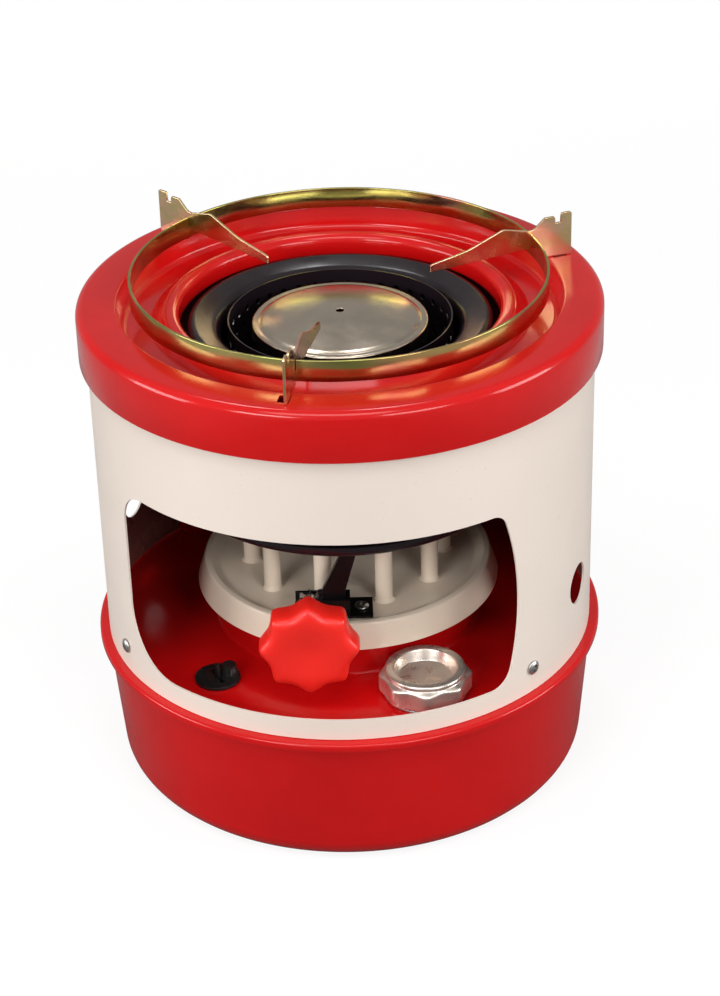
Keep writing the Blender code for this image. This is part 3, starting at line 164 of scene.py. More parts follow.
def drillShape(radius, place, height, sides=rounds["rod"]):  # cuts a hole in a sheet at that height
    return rodShape(radius, (place.x, place.y, height - drop), (place.x, place.y, height + drop), sides)


def blockShape(low, high, turn=None):
    shape = bmesh.new()
    bmesh.ops.create_cube(shape, size=1)
    bmesh.ops.scale(shape, vec=Vector(high) - Vector(low), verts=shape.verts)
    bmesh.ops.translate(shape, vec=(Vector(high) + Vector(low)) / 2, verts=shape.verts)
    if turn:
        bmesh.ops.transform(shape, matrix=turn.to_4x4(), verts=shape.verts)
    return shape


def moved(shape, place=(0, 0, 0), turn=None):
    if turn:
        bmesh.ops.transform(shape, matrix=turn.to_4x4(), verts=shape.verts)
    bmesh.ops.translate(shape, vec=place, verts=shape.verts)
    return shape


def meshOf(shape, name):
    mesh = bpy.data.meshes.new(name)
    shape.to_mesh(mesh)
    shape.free()
    return mesh


def placed(name, content):  # an object in the scene
    item = bpy.data.objects.new(name, content)
    bpy.context.collection.objects.link(item)
    return item


def joined(shapes):
    whole = bmesh.new()
    for shape in shapes:
        bmesh.ops.recalc_face_normals(shape, faces=shape.faces)
        loose = meshOf(shape, "loose")
        whole.from_mesh(loose)
        bpy.data.meshes.remove(loose)
    return whole


def smoothOver(piece, angle):
    piece.data.shade_smooth()
    piece.data.set_sharp_from_angle(angle=radians(angle))


def addPiece(name, shape, look, body, slot, nodes, sharp=35, closed=True):
    if closed:
        bmesh.ops.recalc_face_normals(shape, faces=shape.faces)
    piece = placed(name, meshOf(shape, name))
    piece.data.materials.append(look)
    smoothOver(piece, sharp)
    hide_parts(*nodes)
    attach(piece, body)
    return piece


def combine(piece, shapes, operation="DIFFERENCE", sharp=35):
    tool = placed("tool", meshOf(joined(shapes), "tool"))
    change = piece.modifiers.new("combine", "BOOLEAN")
    change.operation = operation
    change.solver = "EXACT"
    change.object = tool
    bpy.context.view_layer.update()
    ready = piece.evaluated_get(bpy.context.evaluated_depsgraph_get())
    made = bpy.data.meshes.new_from_object(ready)
    made.name = piece.name
    piece.modifiers.clear()
    piece.data = made
    bpy.data.objects.remove(tool)
    smoothOver(piece, sharp)


def softenEdges(piece, width, segments=2, angle=35):
    bevel = piece.modifiers.new("softEdges", "BEVEL")
    bevel.width = width
    bevel.segments = segments
    bevel.limit_method = "ANGLE"
    bevel.angle_limit = radians(angle)
    bevel.harden_normals = True


def refined(name, node, look, body, slot, width=0.0002, segments=2):  # the frame's solid with rounded edges
    shape = bmesh.new()
    shape.from_mesh(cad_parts[node].data)
    merge(shape)
    bmesh.ops.dissolve_limit(shape, angle_limit=radians(1), verts=shape.verts, edges=shape.edges)
    piece = addPiece(name, shape, look, body, slot, [node])
    softenEdges(piece, width, segments)
    return piece


# Looks


def screenColour(red, green, blue):  # a colour as it shows on a screen, 0 to 255, made linear
    shares = [channel / 255 for channel in (red, green, blue)]
    return [share / 12.92 if share <= 0.04045 else ((share + 0.055) / 1.055) ** 2.4 for share in shares]


patternLow, patternHigh = 0.3, 0.7  # most values of a noise pattern lie between these


def startLook(name, roughness, metallic=0.0):
    look = bpy.data.materials.new(name)
    look.use_nodes = True
    shader = look.node_tree.nodes["Principled BSDF"]
    shader.inputs["Roughness"].default_value = roughness
    shader.inputs["Metallic"].default_value = metallic
    return look, look.node_tree, shader


def patternOf(tree, scale, detail=2.0, stretch=(1, 1, 1), roughness=0.5, distortion=0.0):
    place = tree.nodes.new("ShaderNodeTexCoord")
    mapping = tree.nodes.new("ShaderNodeMapping")
    mapping.inputs["Scale"].default_value = stretch
    noise = tree.nodes.new("ShaderNodeTexNoise")
    noise.inputs["Scale"].default_value = scale
    noise.inputs["Detail"].default_value = detail
    noise.inputs["Roughness"].default_value = roughness
    noise.inputs["Distortion"].default_value = distortion
    tree.links.new(place.outputs["Object"], mapping.inputs["Vector"])
    tree.links.new(mapping.outputs["Vector"], noise.inputs["Vector"])
    return noise.outputs["Fac"]


def rampOf(tree, value, stops):
    ramp = tree.nodes.new("ShaderNodeValToRGB")
    marks = ramp.color_ramp.elements
    while len(marks) < len(stops):
        marks.new(0.5)
    for mark, (position, colour) in zip(marks, stops):
        mark.position = position
        mark.color = (*colour, 1)
    tree.links.new(value, ramp.inputs["Fac"])
    return ramp.outputs["Color"]


def spreadOf(tree, value, low, high, fromLow=patternLow, fromHigh=patternHigh):
    spread = tree.nodes.new("ShaderNodeMapRange")
    spread.inputs["From Min"].default_value = fromLow
    spread.inputs["From Max"].default_value = fromHigh
    spread.inputs["To Min"].default_value = low
    spread.inputs["To Max"].default_value = high
    tree.links.new(value, spread.inputs["Value"])
    return spread.outputs["Result"]


def mathOf(tree, operation, *values):
    node = tree.nodes.new("ShaderNodeMath")
    node.operation = operation
    for socket, value in zip(node.inputs, values):
        if isinstance(value, (int, float)):
            socket.default_value = value
        else:
            tree.links.new(value, socket)
    return node.outputs["Value"]


def bumpOf(tree, height, strength, distance, under=None):
    bump = tree.nodes.new("ShaderNodeBump")
    bump.inputs["Strength"].default_value = strength
    bump.inputs["Distance"].default_value = distance
    tree.links.new(height, bump.inputs["Height"])
    if under:
        tree.links.new(under, bump.inputs["Normal"])
    return bump.outputs["Normal"]


def shaded(colour, amount):  # a share of a colour's light
    return [max(0.0, channel * amount) for channel in colour]


def tintOf(tree, shader, pattern, base, low, high):  # a colour that drifts between two shares of itself
    tone = rampOf(tree, pattern, [(patternLow, shaded(base, low)), (patternHigh, shaded(base, high))])
    tree.links.new(tone, shader.inputs["Base Color"])


def glossOf(tree, shader, pattern, gloss, spread):  # a roughness that drifts between two shares of the gloss
    roughness = spreadOf(tree, pattern, gloss * spread[0], gloss * spread[1])
    tree.links.new(roughness, shader.inputs["Roughness"])


def enamelLook(name, colour, gloss=0.2, peel=0.12, drift=0.07, shine=0.4):
    enamel = {"cloud": 22, "dust": 1400, "dustFrom": 0.80, "dustTo": 0.86, "dustShade": 0.8, "gloss": 60,
              "glossSpread": (0.8, 1.3), "flow": 70, "flowDepth": 0.0004, "skin": 520, "skinDepth": 0.00006}
    look, tree, shader = startLook(name, gloss)
    base = screenColour(*colour)
    tone = rampOf(tree, patternOf(tree, enamel["cloud"], detail=3), [
        (patternLow, shaded(base, 1 - drift)), (0.5, base), (patternHigh, shaded(base, 1 + drift))])
    dust = rampOf(tree, patternOf(tree, enamel["dust"], detail=0), [
        (0.0, (0, 0, 0)), (enamel["dustFrom"], (0, 0, 0)), (enamel["dustTo"], (1, 1, 1))])
    mix = tree.nodes.new("ShaderNodeMix")
    mix.data_type = "RGBA"
    mix.inputs["B"].default_value = (*shaded(base, enamel["dustShade"]), 1)
    tree.links.new(dust, mix.inputs["Factor"])
    tree.links.new(tone, mix.inputs["A"])
    tree.links.new(mix.outputs["Result"], shader.inputs["Base Color"])
    glossOf(tree, shader, patternOf(tree, enamel["gloss"], detail=2), gloss, enamel["glossSpread"])
    flow = bumpOf(tree, patternOf(tree, enamel["flow"], detail=1), peel, enamel["flowDepth"])
    skin = bumpOf(tree, patternOf(tree, enamel["skin"], detail=2), peel, enamel["skinDepth"], flow)
    tree.links.new(skin, shader.inputs["Normal"])
    shader.inputs["Specular IOR Level"].default_value = shine
    return look


def platedLook(name, stops, gloss=0.16, scale=11):  # zinc plate with the colours of its passivation
    plate = {"stretch": (1, 1, 2.4), "swirl": 0.8, "gloss": 90, "glossSpread": (0.7, 1.4),
             "wave": 24, "waveBump": 0.5, "waveDepth": 0.004, "grain": 900, "grainBump": 0.05,
             "grainDepth": 0.00003}
    look, tree, shader = startLook(name, gloss, 1.0)
    cloud = patternOf(tree, scale, 2, plate["stretch"], distortion=plate["swirl"])
    colours = [(position, screenColour(*colour)) for position, colour in stops]
    tree.links.new(rampOf(tree, cloud, colours), shader.inputs["Base Color"])
    glossOf(tree, shader, patternOf(tree, plate["gloss"], detail=3), gloss, plate["glossSpread"])
    wavy = bumpOf(tree, patternOf(tree, plate["wave"], detail=1), plate["waveBump"], plate["waveDepth"])
    grain = patternOf(tree, plate["grain"], detail=2)
    skin = bumpOf(tree, grain, plate["grainBump"], plate["grainDepth"], wavy)
    tree.links.new(skin, shader.inputs["Normal"])
    return look


def metalLook(name, colour, gloss=0.25, drift=0.08, grain=0.06, scale=40, metallic=1.0):
    metal = {"glossScale": 3, "glossSpread": (0.7, 1.4), "grain": 700, "grainDepth": 0.00005}
    look, tree, shader = startLook(name, gloss, metallic)
    tintOf(tree, shader, patternOf(tree, scale, detail=4), screenColour(*colour), 1 - drift, 1 + drift)
    glossOf(tree, shader, patternOf(tree, scale * metal["glossScale"], detail=3), gloss, metal["glossSpread"])
    skin = bumpOf(tree, patternOf(tree, metal["grain"], detail=3), grain, metal["grainDepth"])
    tree.links.new(skin, shader.inputs["Normal"])
    return look


def turnedLook(name, colour, gloss=0.25, rings=1700.0, depth=0.05):  # sheet with faint rings from spinning
    turned = {"wobble": 2.0, "cloud": 30, "tint": (0.92, 1.06), "gloss": 110, "glossSpread": (0.75, 1.35),
              "ringDepth": 0.00003, "dentBump": 0.05, "dentDepth": 0.0004}
    look, tree, shader = startLook(name, gloss, 1.0)
    place = tree.nodes.new("ShaderNodeTexCoord")
    wave = tree.nodes.new("ShaderNodeTexWave")
    wave.wave_type = "RINGS"
    wave.rings_direction = "Z"
    wave.inputs["Scale"].default_value = rings
    wave.inputs["Distortion"].default_value = turned["wobble"]
    wave.inputs["Detail"].default_value = 1.0
    tree.links.new(place.outputs["Object"], wave.inputs["Vector"])
    cloud = patternOf(tree, turned["cloud"], detail=4)
    tintOf(tree, shader, cloud, screenColour(*colour), *turned["tint"])
    glossOf(tree, shader, patternOf(tree, turned["gloss"], detail=3), gloss, turned["glossSpread"])
    rubbed = bumpOf(tree, wave.outputs["Fac"], depth, turned["ringDepth"])
    skin = bumpOf(tree, cloud, turned["dentBump"], turned["dentDepth"], rubbed)
    tree.links.new(skin, shader.inputs["Normal"])
    return look


def plasticLook(name, colour, gloss=0.35, grain=0.1, glow=0.08):
    plastic = {"cloud": 45, "tint": (0.95, 1.04), "gloss": 260, "glossSpread": (0.85, 1.2),
               "grain": 1500, "grainDepth": 0.00004, "glowReach": 0.002}
    look, tree, shader = startLook(name, gloss)
    tintOf(tree, shader, patternOf(tree, plastic["cloud"], detail=2), screenColour(*colour), *plastic["tint"])
    glossOf(tree, shader, patternOf(tree, plastic["gloss"], detail=3), gloss, plastic["glossSpread"])
    skin = bumpOf(tree, patternOf(tree, plastic["grain"], detail=2), grain, plastic["grainDepth"])
    tree.links.new(skin, shader.inputs["Normal"])
    shader.inputs["Subsurface Weight"].default_value = glow
    shader.inputs["Subsurface Scale"].default_value = plastic["glowReach"]
    return look


def cottonLook(name, colour, roughness=0.95):
    cotton = {"strands": 900, "twist": 3, "paintedValleyShade": 0.62, "crest": 0.6, "bump": 0.6, "depth": 0.0003,
              "fuzz": 0.4}
    look, tree, shader = startLook(name, roughness)
    base = screenColour(*colour)
    place = tree.nodes.new("ShaderNodeTexCoord")
    strands = []
    for direction in ("X", "DIAGONAL"):
        wave = tree.nodes.new("ShaderNodeTexWave")
        wave.bands_direction = direction
        wave.inputs["Scale"].default_value = cotton["strands"]
        wave.inputs["Distortion"].default_value = cotton["twist"]
        tree.links.new(place.outputs["Object"], wave.inputs["Vector"])
        strands.append(wave.outputs["Fac"])
    weave = mathOf(tree, "MULTIPLY", *strands)
    # the weave's valleys are darker: painted shade between the strands
    tone = rampOf(tree, weave, [(0.0, shaded(base, cotton["paintedValleyShade"])), (cotton["crest"], base)])
    tree.links.new(tone, shader.inputs["Base Color"])
    tree.links.new(bumpOf(tree, weave, cotton["bump"], cotton["depth"]), shader.inputs["Normal"])
    shader.inputs["Sheen Weight"].default_value = cotton["fuzz"]
    return look


looks = {
    "coverRed": enamelLook("coverRed", (208, 15, 16), gloss=0.13),
    "tankRed": enamelLook("tankRed", (206, 14, 16), gloss=0.16),
    "shellCream": enamelLook("shellCream", (239, 225, 213), gloss=0.36, peel=0.02, drift=0.012, shine=0.3),
    # the shell's inside: part its own darker tone, part painted shade and painted red light thrown from the
    # deck
    "shellInsideToneAndShade": enamelLook("shellInsideToneAndShade", (140, 88, 80), gloss=0.3, peel=0.03, drift=0.05),
    "dishCream": enamelLook("dishCream", (250, 232, 210), peel=0.04, drift=0.03, shine=0.5),
    "burnerBlack": enamelLook("burnerBlack", (30, 22, 27), peel=0.06, drift=0.15),
    "leverBlack": enamelLook("leverBlack", (16, 14, 15), gloss=0.3, drift=0.2),
    "yellowZinc": platedLook("yellowZinc", [
        (0.30, (196, 136, 112)), (0.42, (198, 172, 108)), (0.50, (172, 172, 98)),
        (0.60, (206, 184, 122)), (0.72, (178, 124, 104))]),
    "finZinc": platedLook("finZinc", [
        (0.30, (230, 172, 152)), (0.44, (224, 190, 152)), (0.54, (208, 190, 134)),
        (0.68, (232, 186, 162))], gloss=0.22, scale=26),
    "paleZinc": turnedLook("paleZinc", (204, 190, 172), gloss=0.2, depth=0.03),
    "brightCap": metalLook(
        "brightCap", (236, 224, 212), gloss=0.30, drift=0.04, grain=0.015, scale=60, metallic=0.84),
    "plainSteel": metalLook("plainSteel", (190, 188, 186), gloss=0.3),
    "knobRed": plasticLook("knobRed", (246, 38, 28)),
    "blackPlastic": plasticLook("blackPlastic", (20, 18, 18), gloss=0.4, grain=0.15, glow=0.0),
    "gasketBlack": plasticLook("gasketBlack", (34, 33, 33), gloss=0.75, grain=0.3, glow=0.0),
    "wickCotton": cottonLook("wickCotton", (228, 220, 204)),
}
print("looks made:", len(looks))

# Tank: pan, deck, filler and gauge

pan = {"wallRadius": 0.1155, "footRadius": 0.1100, "footRound": 0.012, "seamRound": 0.0012}
panLow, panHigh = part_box("tank_pan")
panFlange = panHigh.z - steel["wall"]
panPath = softCorners([
    (0, panLow.z, 0),
    (pan["footRadius"], panLow.z, pan["footRound"]),
    (pan["wallRadius"], panFlange, pan["seamRound"]),
    (panHigh.x, panFlange, 0)], steps=10)
addPiece(
    "tankPan", lathe(sheetLoop(panPath, steel["wall"]), rounds["body"]),
    looks["tankRed"], "tank", "tank_enamel", ["tank_pan"])

deck = {"rimRound": 0.0014, "collarRadius": 0.0618, "bendRound": 0.0018, "lipRound": 0.0010,
        "lipWidth": 0.0028}
deckLow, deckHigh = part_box("tank_top")
shellLow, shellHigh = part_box("body_shell")
deckTop = shellLow.z - steel["gap"]
deckPath = softCorners([
    (deckHigh.x, deckLow.z, 0),
    (deckHigh.x, deckTop, deck["rimRound"]),
    (deck["collarRadius"], deckTop, deck["bendRound"]),
    (deck["collarRadius"], deckHigh.z, deck["lipRound"]),
    (deck["collarRadius"] - deck["lipWidth"], deckHigh.z, 0)], steps=5)
tankTop = addPiece(
    "tankTop", lathe(sheetLoop(deckPath, steel["wall"]), rounds["body"]),
    looks["tankRed"], "tank", "tank_enamel", ["tank_top"])

neck = {
    "wall": 0.0016, "flangeWidth": 0.0034, "flangeThick": 0.001, "edge": 0.0002, "topEdge": 0.0003,
    "threadDepth": 0.00025, "threadPitch": 0.002, "turns": 1.2}
neckLow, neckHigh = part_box("filler_neck")
neckMiddle = (neckLow + neckHigh) / 2
neckRadius = (neckHigh.x - neckLow.x) / 2 - neck["flangeWidth"]
gauge = {"plugRadius": 0.0075}
gaugeLow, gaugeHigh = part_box("gauge_bezel")
gaugeMiddle = (gaugeLow + gaugeHigh) / 2
combine(tankTop, [
    drillShape(neckRadius + steel["gap"], neckMiddle, deckTop, rounds["small"]),
    drillShape(gauge["plugRadius"], gaugeMiddle, deckTop, rounds["small"])])

neckBore = neckRadius - neck["wall"]
flangeLow = deckTop + steel["gap"]
flangeHigh = flangeLow + neck["flangeThick"]
flangeRadius = neckRadius + neck["flangeWidth"]
barrel = neckRadius - neck["threadDepth"]
neckLoop = softCorners([
    (neckBore, neckLow.z, neck["edge"]), (neckRadius, neckLow.z, neck["edge"]),
    (neckRadius, flangeLow, 0), (flangeRadius, flangeLow, neck["edge"]),
    (flangeRadius, flangeHigh, neck["topEdge"]), (barrel, flangeHigh, neck["topEdge"]),
    (barrel, neckHigh.z, neck["topEdge"]), (neckBore, neckHigh.z, neck["topEdge"])], steps=3, closed=True)
fillerNeck = lathe(neckLoop, rounds["small"])
ridge = bmesh.new()  # one thread, wound up the barrel
tooth = [
    ridge.verts.new((barrel - neck["threadDepth"], 0, -neck["threadPitch"] / 4)),
    ridge.verts.new((neckRadius, 0, 0)),
    ridge.verts.new((barrel - neck["threadDepth"], 0, neck["threadPitch"] / 4))]
bmesh.ops.spin(
    ridge, geom=[ridge.faces.new(tooth)], cent=(0, 0, 0), axis=(0, 0, 1),
    dvec=(0, 0, neck["threadPitch"] / rounds["small"]),
    angle=2 * pi * neck["turns"], steps=int(rounds["small"] * neck["turns"]))
moved(ridge, (0, 0, flangeHigh + neck["threadPitch"] / 2))
addPiece(
    "fillerNeck", moved(joined([fillerNeck, ridge]), (neckMiddle.x, neckMiddle.y, 0)),
    looks["plainSteel"], "tank", "plain_zinc", ["filler_neck"], closed=False)

gasket = {"width": 0.003, "edge": 0.0003}
gasketLow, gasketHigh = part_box("filler_gasket")
gasketRadius = (gasketHigh.x - gasketLow.x) / 2
gasketLoop = bandLoop(
    gasketRadius - gasket["width"], gasketRadius, gasketLow.z, gasketHigh.z, gasket["edge"])
addPiece(
    "fillerGasket", moved(lathe(gasketLoop, rounds["small"]), (neckMiddle.x, neckMiddle.y, 0)),
    looks["gasketBlack"], "cap_gasket", "black_rubber", ["filler_gasket"])


def petal(angle, count, valley, softness):  # share of the radius: 1 at a lobe's tip, rounded by the softness
    wave = sin(count / 2 * angle)
    dip = (sqrt(wave * wave + softness * softness) - softness) / (sqrt(1 + softness * softness) - softness)
    return 1 - valley * dip


def fillerCapPiece():
    cap = {
        "lobes": 8, "valley": 0.085, "softness": 0.35, "flange": 0.0086, "rimRadius": 0.0182,
        "rimWidth": 0.0040, "floorRadius": 0.0122, "floorDrop": 0.0057, "floorRound": 0.0009, "web": 0.001,
        "bore": 0.0159, "boreRound": 0.0004, "mouthRound": 0.0003, "edge": 0.0013,
        "shoulderShare": 1.3, "footShare": 0.5, "rimShare": 0.9, "dipShare": 0.3}  # shares of the edge
    low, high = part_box("filler_cap")
    outer = (high.x - low.x) / 2
    middle = (low + high) / 2
    floor = high.z - cap["floorDrop"]
    ceiling = floor - cap["web"]
    shoulder = low.z + cap["flange"]
    edge = cap["edge"]
    loop = softCorners([
        (0, ceiling, 0), (cap["bore"], ceiling, cap["boreRound"]), (cap["bore"], low.z, cap["mouthRound"]),
        (outer, low.z, edge), (outer, shoulder, edge * cap["shoulderShare"]),
        (cap["rimRadius"], shoulder + edge, edge * cap["footShare"]),
        (cap["rimRadius"], high.z, edge * cap["rimShare"]),
        (cap["rimRadius"] - cap["rimWidth"], high.z, edge * cap["rimShare"]),
        (cap["floorRadius"], floor + edge * cap["dipShare"], cap["floorRound"]), (0, floor, 0)], steps=5)
    shape = lathe(loop, rounds["body"])
    for vert in shape.verts:
        reach = hypot(vert.co.x, vert.co.y)
        if reach > cap["bore"] + tiny:
            beyond = min(1, max(0, (reach - cap["rimRadius"]) / (outer - cap["rimRadius"])))
            share = petal(atan2(vert.co.y, vert.co.x), cap["lobes"], cap["valley"] * beyond, cap["softness"])
            vert.co.x *= share
            vert.co.y *= share
    addPiece(
        "fillerCap", moved(shape, (middle.x, middle.y, 0)),
        looks["brightCap"], "filler_cap", "chrome", ["filler_cap"], sharp=50)


fillerCapPiece()
gaugeBezel = refined(
    "gaugeBezel", "gauge_bezel", looks["blackPlastic"], "tank", "black_plastic", width=0.0003, segments=3)
hood = {"place": (0.0052, 0.0030), "radius": 0.0041, "topRadius": 0.0032, "rise": 0.0046, "sink": 0.0004}
hoodRight, hoodBack = hood["place"]
hoodFoot = Vector((gaugeMiddle.x + hoodRight, gaugeMiddle.y + hoodBack, gaugeHigh.z - hood["sink"]))
hoodTop = hoodFoot + Vector((0, 0, hood["rise"]))
combine(gaugeBezel, [rodShape(hood["radius"], hoodFoot, hoodTop, rounds["rod"], hood["topRadius"])], "UNION")
refined("gaugeFloat", "gauge_float", looks["blackPlastic"], "gauge_float", "black_plastic", width=0.00025)
print("tank, filler and gauge made")

# Wick dish, tubes, wicks and their lift

wickSet = {"count": 10, "firstBearing": -14.6, "circle": 0.045}
wickBearings = [wickSet["firstBearing"] + 360 / wickSet["count"] * index for index in range(wickSet["count"])]


def dishPiece():
    dish = {
        "rimRadius": 0.0672, "rimWidth": 0.0028, "rimRise": 0.0027, "rimRound": 0.0012, "floorRadius": 0.060,
        "floorRound": 0.003, "tubeHole": 0.0043, "screwHole": 0.0019, "rackLean": 0.005}
    low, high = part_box("wick_dish")
    floor = high.z - dish["rimRise"]
    path = softCorners([
        (high.x, low.z, 0),
        (dish["rimRadius"], high.z, dish["rimRound"]),
        (dish["rimRadius"] - dish["rimWidth"], high.z, dish["rimRound"]),
        (dish["floorRadius"], floor, dish["floorRound"]),
        (0, floor, 0)], steps=6)
    piece = addPiece(
        "wickDish", lathe(sheetLoop(path, steel["wall"]), rounds["burner"]),
        looks["dishCream"], "tank", "cream_enamel", ["wick_dish"])
    cuts = [
        drillShape(dish["tubeHole"], aroundAxis(wickSet["circle"], bearing, floor), floor)
        for bearing in wickBearings]
    rackLow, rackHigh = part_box("lift_rack")
    side = steel["gap"] * 2
    cuts.append(blockShape(
        (rackLow.x - side, rackLow.y - side, floor - drop),
        (rackHigh.x - dish["rackLean"] + side, rackHigh.y + side, floor + drop)))
    screwLow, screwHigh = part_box("bracket_screw")
    cuts.append(drillShape(dish["screwHole"], (screwLow + screwHigh) / 2, floor))
    combine(piece, cuts)
    return floor


dishFloor = dishPiece()


def tubePieces():
    tube = {
        "radius": 0.004, "neckRadius": 0.0034, "bore": 0.0029, "edge": 0.0002, "solderRise": 0.0012,
        "solderWidth": 0.0010}
    low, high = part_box("wick_tube_01")
    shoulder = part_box("burner_base")[0].z - steel["gap"]
    loop = softCorners([
        (tube["bore"], low.z, 0), (tube["radius"], low.z, tube["edge"]),
        (tube["radius"], dishFloor, 0), (tube["radius"] + tube["solderWidth"], dishFloor, 0),
        (tube["radius"], dishFloor + tube["solderRise"], tube["solderRise"]),
        (tube["radius"], shoulder, tube["edge"]), (tube["neckRadius"], shoulder, 0),
        (tube["neckRadius"], high.z, tube["edge"]),
        (tube["bore"], high.z, tube["edge"])], steps=3, closed=True)
    for number, bearing in enumerate(wickBearings, 1):
        shape = moved(lathe(loop, rounds["rod"]), aroundAxis(wickSet["circle"], bearing, 0))
        addPiece(
            f"wickTube{number:02d}", shape, looks["dishCream"], "tank", "cream_enamel",
            [f"wick_tube_{number:02d}"])


def wickPieces():
    wick = {"edge": 0.0006, "strands": 12, "strandDepth": 0.00012}
    low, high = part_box("wick_01")
    radius = (high.x - low.x) / 2
    loop = rodLoop(radius, low.z, high.z, wick["edge"])
    for number, bearing in enumerate(wickBearings, 1):
        shape = lathe(loop, rounds["rod"])
        for vert in shape.verts:
            angle = atan2(vert.co.y, vert.co.x)
            share = 1 - wick["strandDepth"] / radius * (1 - cos(wick["strands"] * angle)) / 2
            vert.co.x *= share
            vert.co.y *= share
        moved(shape, aroundAxis(wickSet["circle"], bearing, 0))
        addPiece(
            f"wick{number:02d}", shape, looks["wickCotton"], "wick_frame", "wick_cotton",
            [f"wick_{number:02d}"])


tubePieces()
wickPieces()
refined(
    "wickCarrier", "wick_carrier", looks["plainSteel"], "wick_frame", "plain_steel",
    width=0.00015, segments=1)
refined("liftRack", "lift_rack", looks["leverBlack"], "wick_frame", "black_enamel", width=0.00022)
refined("lifterBracket", "lifter_bracket", looks["leverBlack"], "tank", "black_enamel", width=0.00025)
refined("knobPinion", "knob_pinion", looks["plainSteel"], "knob", "plain_steel", width=0.0001, segments=1)
print("wicks and lift made")


def shaftPiece():
    shaft = {"edge": 0.0004}
    low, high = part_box("knob_shaft")
    half = (high.y - low.y) / 2
    loop = rodLoop((high.z - low.z) / 2, -half, half, shaft["edge"])
    shape = moved(lathe(loop, rounds["rod"]), (low + high) / 2, faceFront)
    addPiece("knobShaft", shape, looks["plainSteel"], "knob", "plain_steel", ["knob_shaft"])


def knobPiece():
    knob = {
        "lobes": 8, "valley": 0.13, "softness": 0.22, "sides": 192, "thick": 0.0132, "hubRadius": 0.0065,
        "boreRadius": 0.0027, "boreDepth": 0.0085, "backRound": 0.0012,
        # front to back: share of the radius, depth, share of the valley
        "levels": [
            (0.22, 0.0004, 0.0), (0.25, 0.0002, 0.0), (0.44, 0.0003, 0.0), (0.47, 0.0001, 0.0),
            (0.70, 0.0001, 0.1), (0.80, 0.0003, 0.5), (0.88, 0.0009, 0.85), (0.94, 0.0015, 0.95),
            (0.98, 0.0026, 1.0), (1.0, 0.0044, 1.0)],
        # the back: share of the radius, share of the rounding that is still to come
        "backLevels": [(1.0, 1.0), (0.99, 0.3), (0.955, 0.0)]}
    low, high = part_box("control_knob")
    outer = (high.x - low.x) / 2
    middle = (low + high) / 2
    shape = bmesh.new()
    bmesh.ops.create_circle(shape, cap_ends=True, segments=knob["sides"], radius=outer)

    def place(verts, share, depth, valley):
        for vert in verts:
            angle = atan2(vert.co.y, vert.co.x)
            left = petal(angle - pi / 2, knob["lobes"], knob["valley"] * valley, knob["softness"])
            reach = outer * share * left
            vert.co = (reach * cos(angle), reach * sin(angle), -depth)

    place(shape.verts, *knob["levels"][-1])
    front = shape.faces[:]
    for share, depth, valley in reversed(knob["levels"][:-1]):  # shrink the front, level by level
        front = bmesh.ops.extrude_discrete_faces(shape, faces=front)["faces"]
        place([vert for face in front for vert in face.verts], share, depth, valley)
    bmesh.ops.poke(shape, faces=front, offset=0)
    rim = [edge for edge in shape.edges if edge.is_boundary]
    for share, left in knob["backLevels"]:
        grown = bmesh.ops.extrude_edge_only(shape, edges=rim)
        place(vertsOf(grown), share, knob["thick"] - knob["backRound"] * left, 1.0)
        rim = [part for part in grown["geom"] if isinstance(part, bmesh.types.BMEdge) and part.is_boundary]
    bmesh.ops.holes_fill(shape, edges=rim, sides=0)
    seat = Vector((middle.x, low.y, middle.z))
    piece = addPiece(
        "controlKnob", moved(shape, seat, faceFront), looks["knobRed"], "knob", "red_plastic",
        ["control_knob"], sharp=40)
    hubStart = (seat.x, seat.y + knob["thick"] / 2, seat.z)
    hub = rodShape(knob["hubRadius"], hubStart, (seat.x, high.y, seat.z), rounds["small"])
    combine(piece, [hub], "UNION", sharp=40)
    boreEnd = (seat.x, high.y - knob["boreDepth"], seat.z)
    bore = rodShape(knob["boreRadius"], boreEnd, (seat.x, high.y + drop, seat.z), rounds["rod"])
    combine(piece, [bore], sharp=40)


shaftPiece()
knobPiece()

screw = {
    "length": 0.005, "radius": 0.0016, "tipRound": 0.0003, "headRadius": 0.0034, "headHeight": 0.0017,
    "headEdge": 0.0002, "sideRound": 0.0005, "crownRound": 0.0012, "sideShare": 0.55, "crownShare": 0.6,
    "crossWidth": 0.0007, "crossReach": 0.0018, "crossDepth": 0.0010, "bracketTurn": 20, "shellTurn": 30}
shellScrews = {"bearings": (-62.8, 45.6, 117.2, -134.4), "rise": 0.013, "hole": 0.0019}


def screwPiece(name, node, seat, turn):  # a pan head on the seat, with a cross recess
    loop = softCorners([
        (0, -screw["length"], 0), (screw["radius"], -screw["length"], screw["tipRound"]),
        (screw["radius"], steel["gap"], 0), (screw["headRadius"], steel["gap"], screw["headEdge"]),
        (screw["headRadius"], screw["headHeight"] * screw["sideShare"], screw["sideRound"]),
        (screw["headRadius"] * screw["crownShare"], screw["headHeight"], screw["crownRound"]),
        (0, screw["headHeight"], 0)], steps=4)
    shape = moved(lathe(loop, rounds["rod"]), seat, turn)
    piece = addPiece(name, shape, looks["plainSteel"], "tank", "plain_steel", [node])
    reach, width = screw["crossReach"], screw["crossWidth"] / 2
    floor, top = screw["headHeight"] - screw["crossDepth"], screw["headHeight"] * 2
    for across, along in ((reach, width), (width, reach)):
        bar = blockShape((-across, -along, floor), (across, along, top))
        combine(piece, [moved(bar, seat, turn)])


def screwPieces():
    low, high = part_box("bracket_screw")
    middle = (low + high) / 2
    seat = Vector((middle.x, middle.y, low.z + screw["length"]))
    screwPiece("bracketScrew", "bracket_screw", seat, turnedTo(screw["bracketTurn"]))
    for number, bearing in enumerate(shellScrews["bearings"], 1):
        seat = aroundAxis(shellHigh.x, bearing, deckTop + shellScrews["rise"])
        turn = turnedTo(bearing) @ faceFront @ turnedTo(screw["shellTurn"] * number)
        screwPiece(f"shellScrew{number}", f"shell_screw_{number}", seat, turn)


